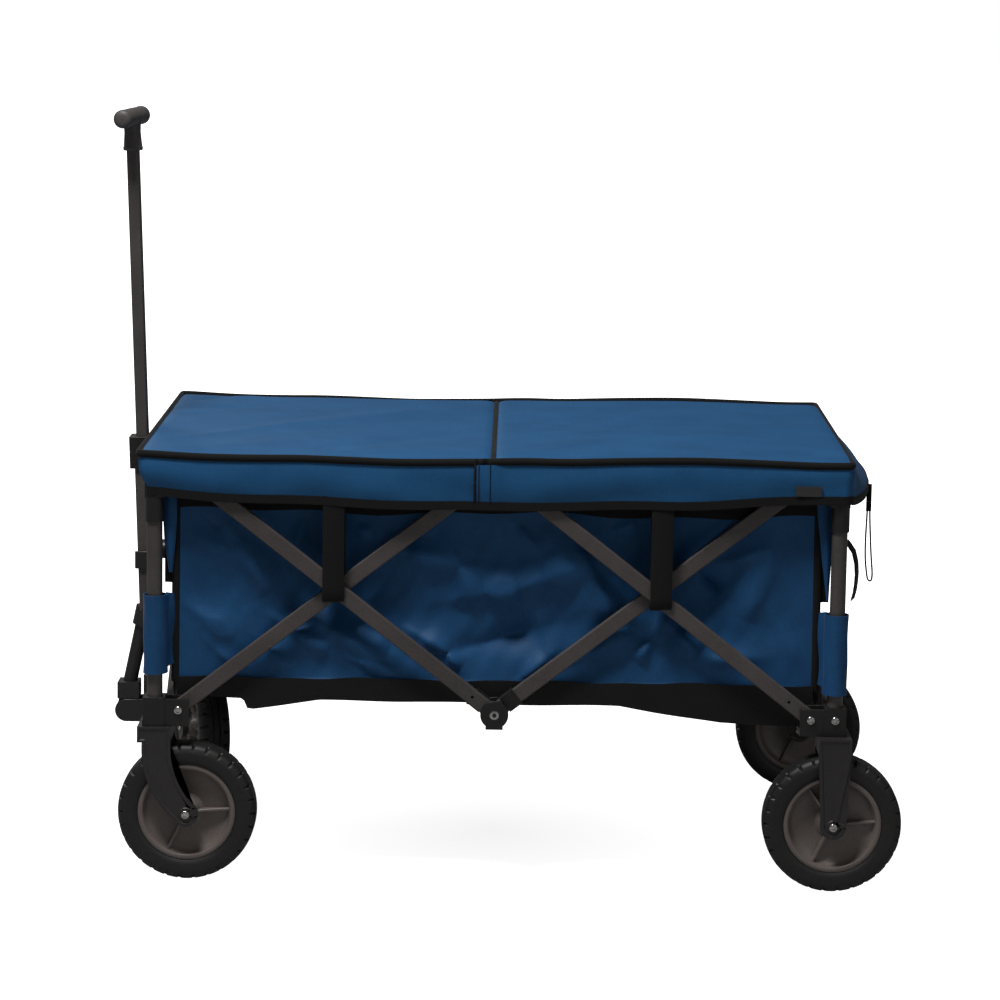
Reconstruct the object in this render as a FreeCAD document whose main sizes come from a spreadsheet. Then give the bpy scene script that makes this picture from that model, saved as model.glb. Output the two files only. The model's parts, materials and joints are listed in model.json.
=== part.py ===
"""Beach cart: a folding wagon with scissor sides and ends, a fabric basket, a two-piece lid and a pull handle.

Frame: millimetres, +X from the handle end to the rear, +Y across to the far side, +Z up.
Origin: on the ground, under the middle of the cart.
The four posts, the struts and the middle feet form scissors that share one strut length, so that all four
sides fold together: each strut turns by the same angle while the posts stay upright.
"""

import FreeCAD, Part
import math
import os
import sys

import Sketcher
from FreeCAD import Placement, Rotation, Vector

doc = FreeCAD.newDocument("beach_cart")
sheet = doc.addObject("Spreadsheet::Sheet", "sizes")

# Driving sizes. Each row is an alias and its value in millimetres, or degrees where the alias says so.
SIZES = [
    # scissor frame
    ("strut_span", 404),          # level distance between a strut's two end pivots
    ("pivot_low", 225),           # height of the lower pivots
    ("pivot_high", 541),          # height of the upper pivots
    ("side_pivot_offset", 31),    # post axis to the side scissor's pivot, along X
    ("end_pivot_offset", 51),     # post axis to the end scissor's pivot, along Y
    ("strut_depth", 20),
    ("strut_thick", 9),
    ("strut_wall", 1.2),
    ("strut_round", 2),
    ("strut_lug", 24),            # solid length beyond each end pivot's centre, towards the middle
    ("drain_hole_radius", 2),
    ("layer_gap", 1),             # between the two struts that cross
    ("cheek_gap", 0.5),           # between a strut and the bracket cheek beside it
    ("bolt_radius", 3),
    ("bolt_clearance", 0.08),
    ("bolt_head_radius", 5.5),
    ("bolt_head_height", 2.6),
    ("side_plane_inset", 1),      # side scissor's middle plane, inboard of the post axis
    ("end_plane_inset", 9.5),     # end scissor's middle plane, inboard of the post axis
    # posts
    ("post_radius", 10),
    ("post_wall", 1.2),
    ("slide_clearance", 0.4),
    ("post_bottom", 212),
    ("post_top", 496),
    ("inner_post_bottom", 250),
    ("collar_clearance", 0.3),
    ("collar_wall", 1.7),
    ("collar_bottom", 468),
    # brackets
    ("block_reach", 14),          # post axis to the bracket block's faces
    ("upper_block_outer", 11.5),  # post axis to the upper block's outer faces, kept inside the lid's skirt
    ("bracket_low", 204),
    ("bracket_floor", 212),
    ("lower_block_top", 241),
    ("lower_cheek_top", 239),
    ("upper_block_bottom", 500),
    ("upper_top", 553),
    ("upper_cheek_bottom", 527),
    ("cheek_thick", 4),
    ("inner_cheek_thick", 4.5),
    ("upper_outer_cheek", 2.5),
    ("cheek_overhang", 14),       # pivot centre to the cheek's end
    ("foot_radius", 18),
    ("foot_web_half", 11),
    ("foot_web_bottom", 206),
    ("foot_web_top", 212),
    ("top_joint_radius", 12),
    ("top_web_bottom", 551.6),
    # wheels
    ("wheel_radius", 89),
    ("tyre_width", 44),
    ("tread_half", 15),
    ("tyre_bead_radius", 63),
    ("rim_width", 38),
    ("rim_lip", 6),
    ("rim_web", 5),
    ("hub_radius", 16),
    ("hub_width", 44),
    ("rib_thick", 4),
    ("axle_radius", 4),
    ("axle_clearance", 0.08),
    ("fork_gap", 48),
    ("fork_arm", 6.5),
    ("fork_end_radius", 16),
    ("fork_cap_bottom", 183),
    ("caster_inset", 13),         # caster's swivel axis, inboard of the post axis along Y
    ("caster_trail", 41),
    ("far_caster_turn_degrees", -70),
    ("stem_radius", 6),
    ("stem_clearance", 0.08),
    ("stem_height", 211),
    ("cap_radius", 21),
    ("cap_gap", 0.5),
    ("rear_wheel_inset", 2),
    ("rear_fork_top_half", 21),
    # basket
    ("liner_gap_side", 18),       # post axis to the basket's outer face, along Y
    ("liner_gap_end", 27),        # post axis to the basket's outer face, along X
    ("liner_bottom", 232),
    ("liner_top", 540),
    ("liner_wall", 3),
    ("liner_floor", 5),
    # lid
    ("lid_top", 560),
    ("lid_board", 5.5),
    ("lid_skirt_bottom", 500),
    ("lid_skirt_wall", 2.5),
    ("lid_overhang_side", 3),     # outermost face of a corner to the skirt's outer face, along Y
    ("lid_overhang_front", 10),
    ("lid_overhang_rear", 4),
    ("lid_seam_x", -6),
    ("lid_seam_gap", 1),
    ("skirt_bulge", 44),          # how far the rear skirt's hem bows out at mid width
    # pull cord
    ("cord_radius", 1.25),
    ("cord_y", -100),
    # handle
    ("handle_pivot_x", -66),      # the handle's X places are measured from the front post axis
    ("handle_pivot_z", 162),
    ("arm_radius", 9.5),
    ("arm_foot_x", -63),
    ("arm_foot_z", 196),
    ("elbow_x", -37.9),
    ("elbow_z", 316),
    ("handle_lean_degrees", 1.87),
    ("outer_tube_width", 22),
    ("outer_tube_breadth", 26),
    ("inner_tube_width", 16),
    ("inner_tube_breadth", 20),
    ("tube_clearance", 0.4),
    ("outer_tube_top_z", 500),
    ("collar_low_z", 495),
    ("collar_high_z", 538),
    ("collar_width", 34),
    ("inner_tube_low_z", 478),
    ("neck_z", 922),
    ("grip_z", 965),
    ("grip_radius", 12.5),
    ("grip_half", 60),
    ("grip_turn_degrees", -6),
    ("neck_radius", 11),
    ("clevis_radius", 15.5),
    ("clevis_thick", 5.5),
    ("clevis_gap", 0.5),
    ("socket_drop", 16.5),        # handle pivot to the underside of the arm's socket
    ("spine_front_x", -26),
    ("spine_rear_x", -20),
    ("spine_half", 14),
    ("spine_bottom_z", 150),
    ("spine_top_z", 400),
    ("boss_radius", 13),
    ("clip_low_z", 358),
    ("clip_high_z", 382),
    ("clip_front_x", -54),
    ("clip_wall", 3.5),
]
for row, (alias, number) in enumerate(SIZES, start=1):
    sheet.set("A%d" % row, alias)
    sheet.set("B%d" % row, str(number))
    sheet.setAlias("B%d" % row, alias)
doc.recompute()


class Sizes:
    """The sheet's numbers by alias, for places worked out in this script."""


size = Sizes()
for alias, number in SIZES:
    setattr(size, alias, float(sheet.get(alias)))

# Places worked out from the driving sizes.
POST_X = size.strut_span + size.side_pivot_offset
POST_Y = size.strut_span / 2 + size.end_pivot_offset
HANDLE_X = size.handle_pivot_x - POST_X
ARM_FOOT_X = size.arm_foot_x - POST_X
ELBOW_X = size.elbow_x - POST_X
SPINE_FRONT = size.spine_front_x - POST_X
SPINE_REAR = size.spine_rear_x - POST_X
CLIP_FRONT = size.clip_front_x - POST_X
RISE = size.pivot_high - size.pivot_low
MID_Z = (size.pivot_high + size.pivot_low) / 2
STRUT_LENGTH = math.hypot(size.strut_span, RISE)
STRUT_ANGLE = math.degrees(math.atan2(RISE, size.strut_span))
LAYER = (size.strut_thick + size.layer_gap) / 2
STACK = LAYER + size.strut_thick / 2 + size.cheek_gap
HOLE_RADIUS = size.bolt_radius + size.bolt_clearance
# Outermost face of a corner from the post axis: collar, upper block, or the upper outer cheek of either scissor.
CORNER_OUT = max(size.post_radius + size.collar_clearance + size.collar_wall, size.upper_block_outer,
                 STACK + size.upper_outer_cheek - size.side_plane_inset,
                 STACK + size.upper_outer_cheek - size.end_plane_inset)
X_AXIS = Vector(1, 0, 0)
Y_AXIS = Vector(0, 1, 0)
Z_AXIS = Vector(0, 0, 1)
NO_TURN = Rotation()

# Each corner: its name, the sign of X and the sign of Y.
CORNERS = [("front_near", -1, -1), ("front_far", -1, 1), ("rear_near", 1, -1), ("rear_far", 1, 1)]
nodes = []


def keep(piece, label):
    """Give a finished sub-part its own name and list it for export."""
    piece.Label = label
    nodes.append(piece)
    return piece


def bind(piece, **formulas):
    """Tie an object's properties to the sheet."""
    for prop, formula in formulas.items():
        piece.setExpression(prop, formula)
    piece.recompute()
    return piece


def box(x_range, y_range, z_range):
    """A box between two values on each axis, in either order."""
    low = [min(pair) for pair in (x_range, y_range, z_range)]
    high = [max(pair) for pair in (x_range, y_range, z_range)]
    piece = doc.addObject("Part::Box", "block")
    piece.Length, piece.Width, piece.Height = [b - a for a, b in zip(low, high)]
    piece.Placement = Placement(Vector(*low), NO_TURN)
    return piece


def cylinder(radius, start, direction, length):
    """A cylinder whose radius is a formula on the sheet."""
    piece = doc.addObject("Part::Cylinder", "round")
    piece.Height = length
    piece.Placement = Placement(start, Rotation(Z_AXIS, direction))
    return bind(piece, Radius=radius)


def fuse(*pieces):
    joined = doc.addObject("Part::MultiFuse", "joined")
    joined.Shapes = list(pieces)
    joined.Refine = True
    return joined


def cut(piece, *tools):
    result = doc.addObject("Part::Cut", "trimmed")
    result.Base = piece
    result.Tool = tools[0] if len(tools) == 1 else fuse(*tools)
    return result


def group(*pieces):
    """Separate solids kept in one node."""
    result = doc.addObject("Part::Compound", "set")
    result.Links = list(pieces)
    return result


def origin_plane(body, role):
    return [item for item in body.Origin.OriginFeatures if item.Role == role][0]


def new_sketch(body, role, name):
    sketch = body.newObject("Sketcher::SketchObject", name)
    sketch.AttachmentSupport = [(origin_plane(body, role), "")]
    sketch.MapMode = "FlatFace"
    return sketch


def tie(sketch, name, constraint, formula):
    """Add a dimension to a sketch and bind it to the sheet."""
    index = sketch.addConstraint(constraint)
    sketch.renameConstraint(index, name)
    sketch.setExpression("Constraints." + name, formula)


# ---------------------------------------------------------------- posts
for corner, sx, sy in CORNERS:
    foot = Vector(sx * POST_X, sy * POST_Y, size.post_bottom)
    tube = cylinder("sizes.post_radius", foot, Z_AXIS, 1)
    bore = cylinder("sizes.post_radius - sizes.post_wall", foot, Z_AXIS, 1)
    for part in (tube, bore):
        bind(part, Height="sizes.post_top - sizes.post_bottom")
    keep(cut(tube, bore), "post_" + corner)
    foot = Vector(sx * POST_X, sy * POST_Y, size.inner_post_bottom)
    inner = "sizes.post_radius - sizes.post_wall - sizes.slide_clearance"
    tube = cylinder(inner, foot, Z_AXIS, 1)
    bore = cylinder(inner + " - sizes.post_wall", foot, Z_AXIS, 1)
    for part in (tube, bore):
        bind(part, Height="sizes.upper_top - 8 - sizes.inner_post_bottom")
    keep(cut(tube, bore), "inner_post_" + corner)


# ---------------------------------------------------------------- corner brackets
class Corner:
    """Local places at one corner: u runs inboard along X and v inboard along Y, from the post axis."""

    def __init__(self, sx, sy):
        self.sx, self.sy = sx, sy

    def x(self, u):
        return self.sx * (POST_X - u)

    def y(self, v):
        return self.sy * (POST_Y - v)

    def box(self, u_range, v_range, z_range):
        return box([self.x(u) for u in u_range], [self.y(v) for v in v_range], z_range)

    def pin_y(self, radius, u, z, v_start, v_end):
        """A round bar along Y."""
        start = Vector(self.x(u), self.y(v_start), z)
        return cylinder(radius, start, Vector(0, -self.sy, 0), v_end - v_start)

    def pin_x(self, radius, v, z, u_start, u_end):
        """A round bar along X."""
        start = Vector(self.x(u_start), self.y(v), z)
        return cylinder(radius, start, Vector(-self.sx, 0, 0), u_end - u_start)


def cheeks(place, outer_thick, z_range):
    """The four flat cheeks that hold the side strut and the end strut, as boxes."""
    side_out = size.side_plane_inset - STACK
    side_in = size.side_plane_inset + STACK
    end_out = size.end_plane_inset - STACK
    end_in = size.end_plane_inset + STACK
    side_reach = (0, size.side_pivot_offset + size.cheek_overhang)
    end_reach = (0, size.end_pivot_offset + size.cheek_overhang)
    inner_end_reach = (side_in, size.end_pivot_offset + size.cheek_overhang)
    return [
        place.box(side_reach, (side_out - outer_thick, side_out), z_range),
        place.box(side_reach, (side_in, side_in + size.inner_cheek_thick), z_range),
        place.box((end_out - size.cheek_thick, end_out), end_reach, z_range),
        place.box((end_in, end_in + size.inner_cheek_thick), inner_end_reach, z_range),
    ]


# Where the side pivot's and the end pivot's bolts start and stop, from the post axis inboard.
SIDE_BOLT = (size.side_plane_inset - STACK - size.cheek_thick,
             size.side_plane_inset + STACK + size.inner_cheek_thick)
END_BOLT = (size.end_plane_inset - STACK - size.cheek_thick,
            size.end_plane_inset + STACK + size.inner_cheek_thick)

for corner, sx, sy in CORNERS:
    place = Corner(sx, sy)
    reach = size.block_reach
    post_here = Vector(place.x(0), place.y(0), size.post_bottom)
    # lower bracket: block round the post, four cheeks, and a floor plate that carries the wheel
    plate_end = size.caster_inset + size.cap_radius - 3
    lower = fuse(
        place.box((-reach, reach), (-reach, reach), (size.bracket_low, size.lower_block_top)),
        place.box((-reach - 1, size.side_pivot_offset + size.cheek_overhang), (-reach + 1, plate_end),
                  (size.bracket_low, size.bracket_floor)),
        *cheeks(place, size.cheek_thick, (size.bracket_low + 4, size.lower_cheek_top)))
    holes = [
        cylinder("sizes.post_radius", post_here, Z_AXIS, 60),
        place.pin_y("sizes.bolt_radius", size.side_pivot_offset, size.pivot_low, -reach - 5, reach + 20),
        place.pin_x("sizes.bolt_radius", size.end_pivot_offset, size.pivot_low, -reach - 5, reach + 20),
    ]
    if sx > 0:
        holes.append(place.pin_y("sizes.bolt_radius", 0, size.pivot_low, -reach - 5, -size.post_radius))
    else:
        stem_at = Vector(place.x(0), place.y(size.caster_inset), size.bracket_low - 1)
        holes.append(cylinder("sizes.stem_radius + sizes.stem_clearance", stem_at, Z_AXIS,
                              size.stem_height - size.bracket_low + 1.4))
    keep(cut(lower, *holes), "lower_bracket_" + corner)
    # bolts in the lower bracket, each a shank with a domed head outside
    bolts = []
    bolt_rows = [("y", size.side_pivot_offset, SIDE_BOLT), ("x", size.end_pivot_offset, END_BOLT)]
    if sx > 0:
        bolt_rows.append(("y", 0, (min(-reach, SIDE_BOLT[0]), -size.post_radius - 0.2)))
    for along, offset, (start, stop) in bolt_rows:
        bar = place.pin_y if along == "y" else place.pin_x
        head = size.bolt_head_height
        bolts.append(fuse(bar("sizes.bolt_radius", offset, size.pivot_low, start, stop),
                          bar("sizes.bolt_head_radius", offset, size.pivot_low, start - head, start)))
    if sx > 0:
        half = size.fork_gap / 2 + size.fork_arm
        centre_v = size.rear_wheel_inset
        bolts.append(fuse(
            place.pin_y("sizes.axle_radius", 0, size.wheel_radius, centre_v - half, centre_v + half),
            place.pin_y("sizes.bolt_head_radius", 0, size.wheel_radius,
                        centre_v - half - size.bolt_head_height, centre_v - half),
            place.pin_y("sizes.bolt_head_radius", 0, size.wheel_radius,
                        centre_v + half, centre_v + half + size.bolt_head_height)))
    keep(group(*bolts), "bolts_" + corner)
    # upper bracket: collar round the post top, block, cheeks and fixed pins for the two upper strut ends
    outer = size.upper_block_outer
    collar_at = Vector(place.x(0), place.y(0), size.collar_bottom)
    collar_radius = "sizes.post_radius + sizes.collar_clearance"
    upper = fuse(
        place.box((-outer, reach), (-outer, reach), (size.upper_block_bottom, size.upper_top)),
        cylinder(collar_radius + " + sizes.collar_wall", collar_at, Z_AXIS,
                 size.upper_block_bottom + 2 - size.collar_bottom),
        *cheeks(place, size.upper_outer_cheek, (size.upper_cheek_bottom, size.upper_top)))
    bored = cut(
        upper,
        cylinder(collar_radius, collar_at, Z_AXIS, size.upper_block_bottom - size.collar_bottom),
        cylinder("sizes.post_radius - sizes.post_wall - sizes.slide_clearance",
                 collar_at, Z_AXIS, size.upper_top - 8 - size.collar_bottom))
    keep(fuse(
        bored,
        place.pin_y("sizes.bolt_radius", size.side_pivot_offset, size.pivot_high,
                    size.side_plane_inset - STACK - 1, size.side_plane_inset + STACK + 1),
        place.pin_x("sizes.bolt_radius", size.end_pivot_offset, size.pivot_high,
                    size.end_plane_inset - STACK - 1, size.end_plane_inset + STACK + 1)),
        "upper_bracket_" + corner)


# ---------------------------------------------------------------- struts
def strut_body(label, centre, turn, riveted):
    """A flat-sided tube with solid rounded ends, made along local X with its thickness along local Y.

    A riveted strut carries the crossing rivet, which passes through the bored strut beside it; riveted is
    +1 or -1 for the local Y side that the rivet stands on, and 0 for the bored strut."""
    body = doc.addObject("PartDesign::Body", "strut")
    outline = new_sketch(body, "XZ_Plane", "outline")
    half = STRUT_LENGTH / 2
    end = size.strut_depth / 2
    outline.addGeometry([
        Part.LineSegment(Vector(-half, end, 0), Vector(half, end, 0)),
        Part.LineSegment(Vector(half, -end, 0), Vector(-half, -end, 0)),
        Part.ArcOfCircle(Part.Circle(Vector(half, 0, 0), Z_AXIS, end), -math.pi / 2, math.pi / 2),
        Part.ArcOfCircle(Part.Circle(Vector(-half, 0, 0), Z_AXIS, end), math.pi / 2, 1.5 * math.pi)])
    outline.addConstraint([
        Sketcher.Constraint("Tangent", 0, 2, 2, 2), Sketcher.Constraint("Tangent", 1, 1, 2, 1),
        Sketcher.Constraint("Tangent", 0, 1, 3, 1), Sketcher.Constraint("Tangent", 1, 2, 3, 2),
        Sketcher.Constraint("Horizontal", 0), Sketcher.Constraint("Horizontal", 1),
        Sketcher.Constraint("Symmetric", 2, 3, 3, 3, -1, 1)])
    span = "sqrt(pow(sizes.strut_span; 2) + pow(sizes.pivot_high - sizes.pivot_low; 2))"
    tie(outline, "span", Sketcher.Constraint("DistanceX", 3, 3, 2, 3, 2 * half), span)
    tie(outline, "end_round", Sketcher.Constraint("Radius", 2, end), "sizes.strut_depth / 2")
    bar = body.newObject("PartDesign::Pad", "bar")
    bar.Profile = outline
    bar.SideType = "Symmetric"
    bind(bar, Length="sizes.strut_thick")
    doc.recompute()
    rounded = body.newObject("PartDesign::Fillet", "rounded")
    rounded.Base = (bar, ["Edge%d" % number for number, edge in enumerate(bar.Shape.Edges, start=1)
                          if edge.BoundBox.YLength < 0.01])
    bind(rounded, Radius="sizes.strut_round")
    hollow = new_sketch(body, "XZ_Plane", "hollow_outline")
    inner_x = half - size.strut_lug
    inner_z = end - size.strut_wall
    corners = [Vector(-inner_x, -inner_z, 0), Vector(inner_x, -inner_z, 0),
               Vector(inner_x, inner_z, 0), Vector(-inner_x, inner_z, 0)]
    for start, stop in zip(corners, corners[1:] + corners[:1]):
        hollow.addGeometry(Part.LineSegment(start, stop))
    inside = body.newObject("PartDesign::Pocket", "hollow")
    inside.Profile = hollow
    inside.SideType = "Symmetric"
    bind(inside, Length="sizes.strut_thick - 2 * sizes.strut_wall")
    holes = new_sketch(body, "XZ_Plane", "hole_outline")
    middle = size.drain_hole_radius if riveted else HOLE_RADIUS
    spots = [(-half, HOLE_RADIUS), (half, HOLE_RADIUS), (inner_x - 12, size.drain_hole_radius)]
    if not riveted:
        spots.append((0, middle))
    for at, radius in spots:
        holes.addGeometry(Part.Circle(Vector(at, 0, 0), Z_AXIS, radius))
    bored = body.newObject("PartDesign::Pocket", "bored")
    bored.Profile = holes
    bored.SideType = "Symmetric"
    bored.Length = 4 * size.strut_thick
    doc.recompute()
    result = body
    if riveted:
        reach = size.strut_thick * 1.5 + size.layer_gap
        rivet = cylinder("sizes.bolt_radius", Vector(0, riveted * size.strut_thick / 4, 0),
                         Vector(0, riveted, 0), reach - size.strut_thick / 4 + size.cheek_gap + 0.2)
        head = cylinder("sizes.bolt_head_radius", Vector(0, riveted * (reach + size.cheek_gap), 0),
                        Vector(0, riveted, 0), 2)
        result = fuse(body, rivet, head)
    result.Placement = Placement(centre, turn)
    return keep(result, label)


SIDE_Y = POST_Y - size.side_plane_inset
END_X = POST_X - size.end_plane_inset
for side, sy in (("near", -1), ("far", 1)):
    for end_name, sx in (("front", -1), ("rear", 1)):
        # the outer strut runs from the end's upper corner down to the middle foot on the front pair,
        # and from the middle top down to the lower corner on the rear pair
        for layer, out, lean in (("outer", 1, -1), ("inner", -1, 1)):
            centre = Vector(sx * size.strut_span / 2, sy * (SIDE_Y + out * LAYER), MID_Z)
            turn = Rotation(Y_AXIS, -lean * STRUT_ANGLE)
            rivet_side = -sy if layer == "outer" else 0
            strut_body("strut_%s_%s_%s" % (side, end_name, layer), centre, turn, rivet_side)
for end_name, sx in (("front", -1), ("rear", 1)):
    for layer, out, lean in (("outer", 1, -1), ("inner", -1, 1)):
        centre = Vector(sx * (END_X + out * LAYER), 0, MID_Z)
        # local X is laid along Y first, then leaned
        turn = Rotation(X_AXIS, lean * STRUT_ANGLE).multiply(Rotation(Z_AXIS, 90))
        rivet_side = sx if (layer == "outer" and end_name == "rear") else 0
        strut_body("strut_%s_%s" % (end_name, layer), centre, turn, rivet_side)

# ---------------------------------------------------------------- middle feet and middle tops
for side, sy in (("near", -1), ("far", 1)):
    place = Corner(0, sy)
    outer_face = size.side_plane_inset - STACK
    inner_face = size.side_plane_inset + STACK

    def disc(radius, z, v_start, v_end):
        start = Vector(0, place.y(v_start), z)
        return cylinder(radius, start, Vector(0, -sy, 0), v_end - v_start)

    thick_in = size.inner_cheek_thick
    half = size.foot_web_half
    keep(fuse(
        disc("sizes.foot_radius", size.pivot_low, outer_face - size.cheek_thick, outer_face),
        disc("sizes.foot_radius", size.pivot_low, inner_face, inner_face + thick_in),
        disc("sizes.bolt_radius", size.pivot_low, outer_face - 1, inner_face + 1),
        box((-half, half), (place.y(outer_face - size.cheek_thick), place.y(inner_face + thick_in)),
            (size.foot_web_bottom, size.foot_web_top))), "mid_foot_" + side)
    keep(fuse(
        disc("sizes.top_joint_radius", size.pivot_high, outer_face - size.upper_outer_cheek, outer_face),
        disc("sizes.top_joint_radius", size.pivot_high, inner_face, inner_face + thick_in),
        disc("sizes.bolt_radius", size.pivot_high, outer_face - 1, inner_face + 1),
        box((-half, half), (place.y(outer_face - size.upper_outer_cheek), place.y(inner_face + thick_in)),
            (size.top_web_bottom, size.upper_top))), "mid_top_" + side)

# ---------------------------------------------------------------- wheels
WHEELS = [
    ("front_near", -POST_X, -POST_Y + size.caster_inset, 0.0, size.caster_trail),
    ("front_far", -POST_X, POST_Y - size.caster_inset, size.far_caster_turn_degrees, size.caster_trail),
    ("rear_near", POST_X, -POST_Y + size.rear_wheel_inset, 0.0, 0.0),
    ("rear_far", POST_X, POST_Y - size.rear_wheel_inset, 0.0, 0.0),
]


def closed_profile(sketch, points):
    """Straight lines through the points, closed."""
    for start, stop in zip(points, points[1:] + points[:1]):
        sketch.addGeometry(Part.LineSegment(Vector(*start, 0), Vector(*stop, 0)))


def turned(name, points):
    """A revolved body: the profile's first number is across the wheel and its second is the radius."""
    body = doc.addObject("PartDesign::Body", name)
    sketch = new_sketch(body, "YZ_Plane", name + "_profile")
    closed_profile(sketch, points)
    spin = body.newObject("PartDesign::Revolution", name + "_spin")
    spin.Profile = sketch
    spin.ReferenceAxis = (sketch, ["H_Axis"])
    spin.Angle = 360
    doc.recompute()
    return body


for corner, axis_x, axis_y, angle, trail in WHEELS:
    turn = Rotation(Z_AXIS, angle)
    hub = Vector(axis_x, axis_y, size.wheel_radius) + turn.multVec(Vector(trail, 0, 0))
    half = size.tyre_width / 2
    crown = size.wheel_radius
    bead = size.tyre_bead_radius
    wall = crown - bead
    tyre = turned("tyre", [
        (-size.rim_width / 2, bead), (size.rim_width / 2, bead), (half, bead + wall * 7 / 26), (half, crown - wall * 11 / 26),
        (half - 2, crown - wall * 4 / 26), (size.tread_half, crown), (-size.tread_half, crown),
        (2 - half, crown - wall * 4 / 26),
        (-half, crown - wall * 11 / 26), (-half, bead + wall * 7 / 26)])
    tyre.Placement = Placement(hub, turn)
    keep(tyre, "tyre_" + corner)
    edge = size.rim_width / 2
    inner = bead - size.rim_lip
    web = size.rim_web / 2
    bore = size.axle_radius + size.axle_clearance
    disc_body = turned("rim", [
        (-size.hub_width / 2, bore), (size.hub_width / 2, bore), (size.hub_width / 2, size.hub_radius),
        (web, size.hub_radius + 3), (web, inner - 6), (edge, inner), (edge, bead), (-edge, bead),
        (-edge, inner), (-web, inner - 6), (-web, size.hub_radius + 3), (-size.hub_width / 2, size.hub_radius)])
    ribs = []
    for rib_angle in (0, 120, 240):
        rib = doc.addObject("Part::Box", "rib")
        rib.Length = inner - size.hub_radius
        rib.Width = size.rim_width - 12
        bind(rib, Height="sizes.rib_thick")
        spoke = Rotation(Y_AXIS, -rib_angle)
        corner_at = Vector(size.hub_radius - 1, -rib.Width.Value / 2, -size.rib_thick / 2)
        rib.Placement = Placement(spoke.multVec(corner_at), spoke)
        ribs.append(rib)
    rim = fuse(disc_body, *ribs)
    rim.Placement = Placement(hub, turn)
    keep(rim, "rim_" + corner)
    # axle bolt of a caster; a rear wheel's axle is with its corner's bolts
    half_out = size.fork_gap / 2 + size.fork_arm
    if trail:
        head = size.bolt_head_height
        axle = fuse(
            cylinder("sizes.axle_radius", Vector(0, -half_out, 0), Y_AXIS, 2 * half_out),
            cylinder("sizes.bolt_head_radius", Vector(0, -half_out - head, 0), Y_AXIS, head),
            cylinder("sizes.bolt_head_radius", Vector(0, half_out, 0), Y_AXIS, head))
        axle.Placement = Placement(hub, turn)
        keep(axle, "axle_bolt_" + corner)


# ---------------------------------------------------------------- forks
def fork(label, trail, cap, crown_height, base, turn, stem):
    """Two arms joined by a cap, cut from one side profile padded across the fork's width."""
    body = doc.addObject("PartDesign::Body", "fork")
    outline = new_sketch(body, "XZ_Plane", "fork_outline")
    axle = Vector(trail, size.wheel_radius, 0)
    end = size.fork_end_radius
    cap_low = size.fork_cap_bottom
    if trail:
        # swan neck: the front edge drops straight, then bows back to the axle
        front_top = Vector(-15, cap_low, 0)
        front_bend = Vector(-9, cap_low - 48, 0)
        rear_top = Vector(22, cap_low, 0)
        rear_bend = Vector(27, cap_low - 40, 0)
        front_touch = axle + Vector(math.cos(math.radians(222)), math.sin(math.radians(222)), 0) * end
        rear_touch = axle + Vector(math.cos(math.radians(36)), math.sin(math.radians(36)), 0) * end
        low_point = axle + Vector(math.cos(math.radians(309)), math.sin(math.radians(309)), 0) * end
    else:
        front_top = Vector(-size.rear_fork_top_half, cap_low, 0)
        rear_top = Vector(size.rear_fork_top_half, cap_low, 0)
        front_bend = Vector(-(size.rear_fork_top_half + end) / 2, (cap_low + size.wheel_radius) / 2, 0)
        rear_bend = Vector((size.rear_fork_top_half + end) / 2, (cap_low + size.wheel_radius) / 2, 0)
        front_touch = axle - Vector(end, 0, 0)
        rear_touch = axle + Vector(end, 0, 0)
        low_point = axle - Vector(0, end, 0)
    cap_left = Vector(-cap, cap_low, 0)
    cap_right = Vector(cap, cap_low, 0)
    top_left = Vector(-cap, crown_height, 0)
    top_right = Vector(cap, crown_height, 0)
    outline.addGeometry(Part.LineSegment(top_left, top_right))
    if (top_right - cap_right).Length > 0.1:
        outline.addGeometry(Part.LineSegment(top_right, cap_right))
    if (cap_right - rear_top).Length > 0.1:
        outline.addGeometry(Part.LineSegment(cap_right, rear_top))
    if trail:
        outline.addGeometry(Part.Arc(rear_top, rear_bend, rear_touch))
    else:
        outline.addGeometry(Part.LineSegment(rear_top, rear_touch))
    outline.addGeometry(Part.Arc(rear_touch, low_point, front_touch))
    if trail:
        outline.addGeometry(Part.Arc(front_touch, front_bend, front_top))
    else:
        outline.addGeometry(Part.LineSegment(front_touch, front_top))
    if (front_top - cap_left).Length > 0.1:
        outline.addGeometry(Part.LineSegment(front_top, cap_left))
    outline.addGeometry(Part.LineSegment(cap_left, top_left))
    pad = body.newObject("PartDesign::Pad", "fork_pad")
    pad.Profile = outline
    pad.SideType = "Symmetric"
    bind(pad, Length="sizes.fork_gap + 2 * sizes.fork_arm")
    doc.recompute()
    reach = size.wheel_radius * 2
    gap = box((-reach, reach), (-size.fork_gap / 2, size.fork_gap / 2), (0, cap_low))
    width = size.fork_gap + 2 * size.fork_arm
    hole = cylinder("sizes.axle_radius", Vector(trail, -width, size.wheel_radius), Y_AXIS, 2 * width)
    result = cut(body, gap, hole)
    if stem:
        result = fuse(result, cylinder("sizes.stem_radius", Vector(0, 0, crown_height - 1), Z_AXIS,
                                       size.stem_height - crown_height + 1))
    result.Placement = Placement(base, turn)
    return keep(result, label)


for corner, axis_x, axis_y, angle, trail in WHEELS:
    base = Vector(axis_x, axis_y, 0)
    turn = Rotation(Z_AXIS, angle)
    if trail:
        fork("caster_" + corner.replace("front", "fork"), trail, size.cap_radius,
             size.bracket_low - size.cap_gap, base, turn, True)
    else:
        fork(corner.replace("rear", "rear_fork"), trail, size.rear_fork_top_half,
             size.bracket_low, base, turn, False)

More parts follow.
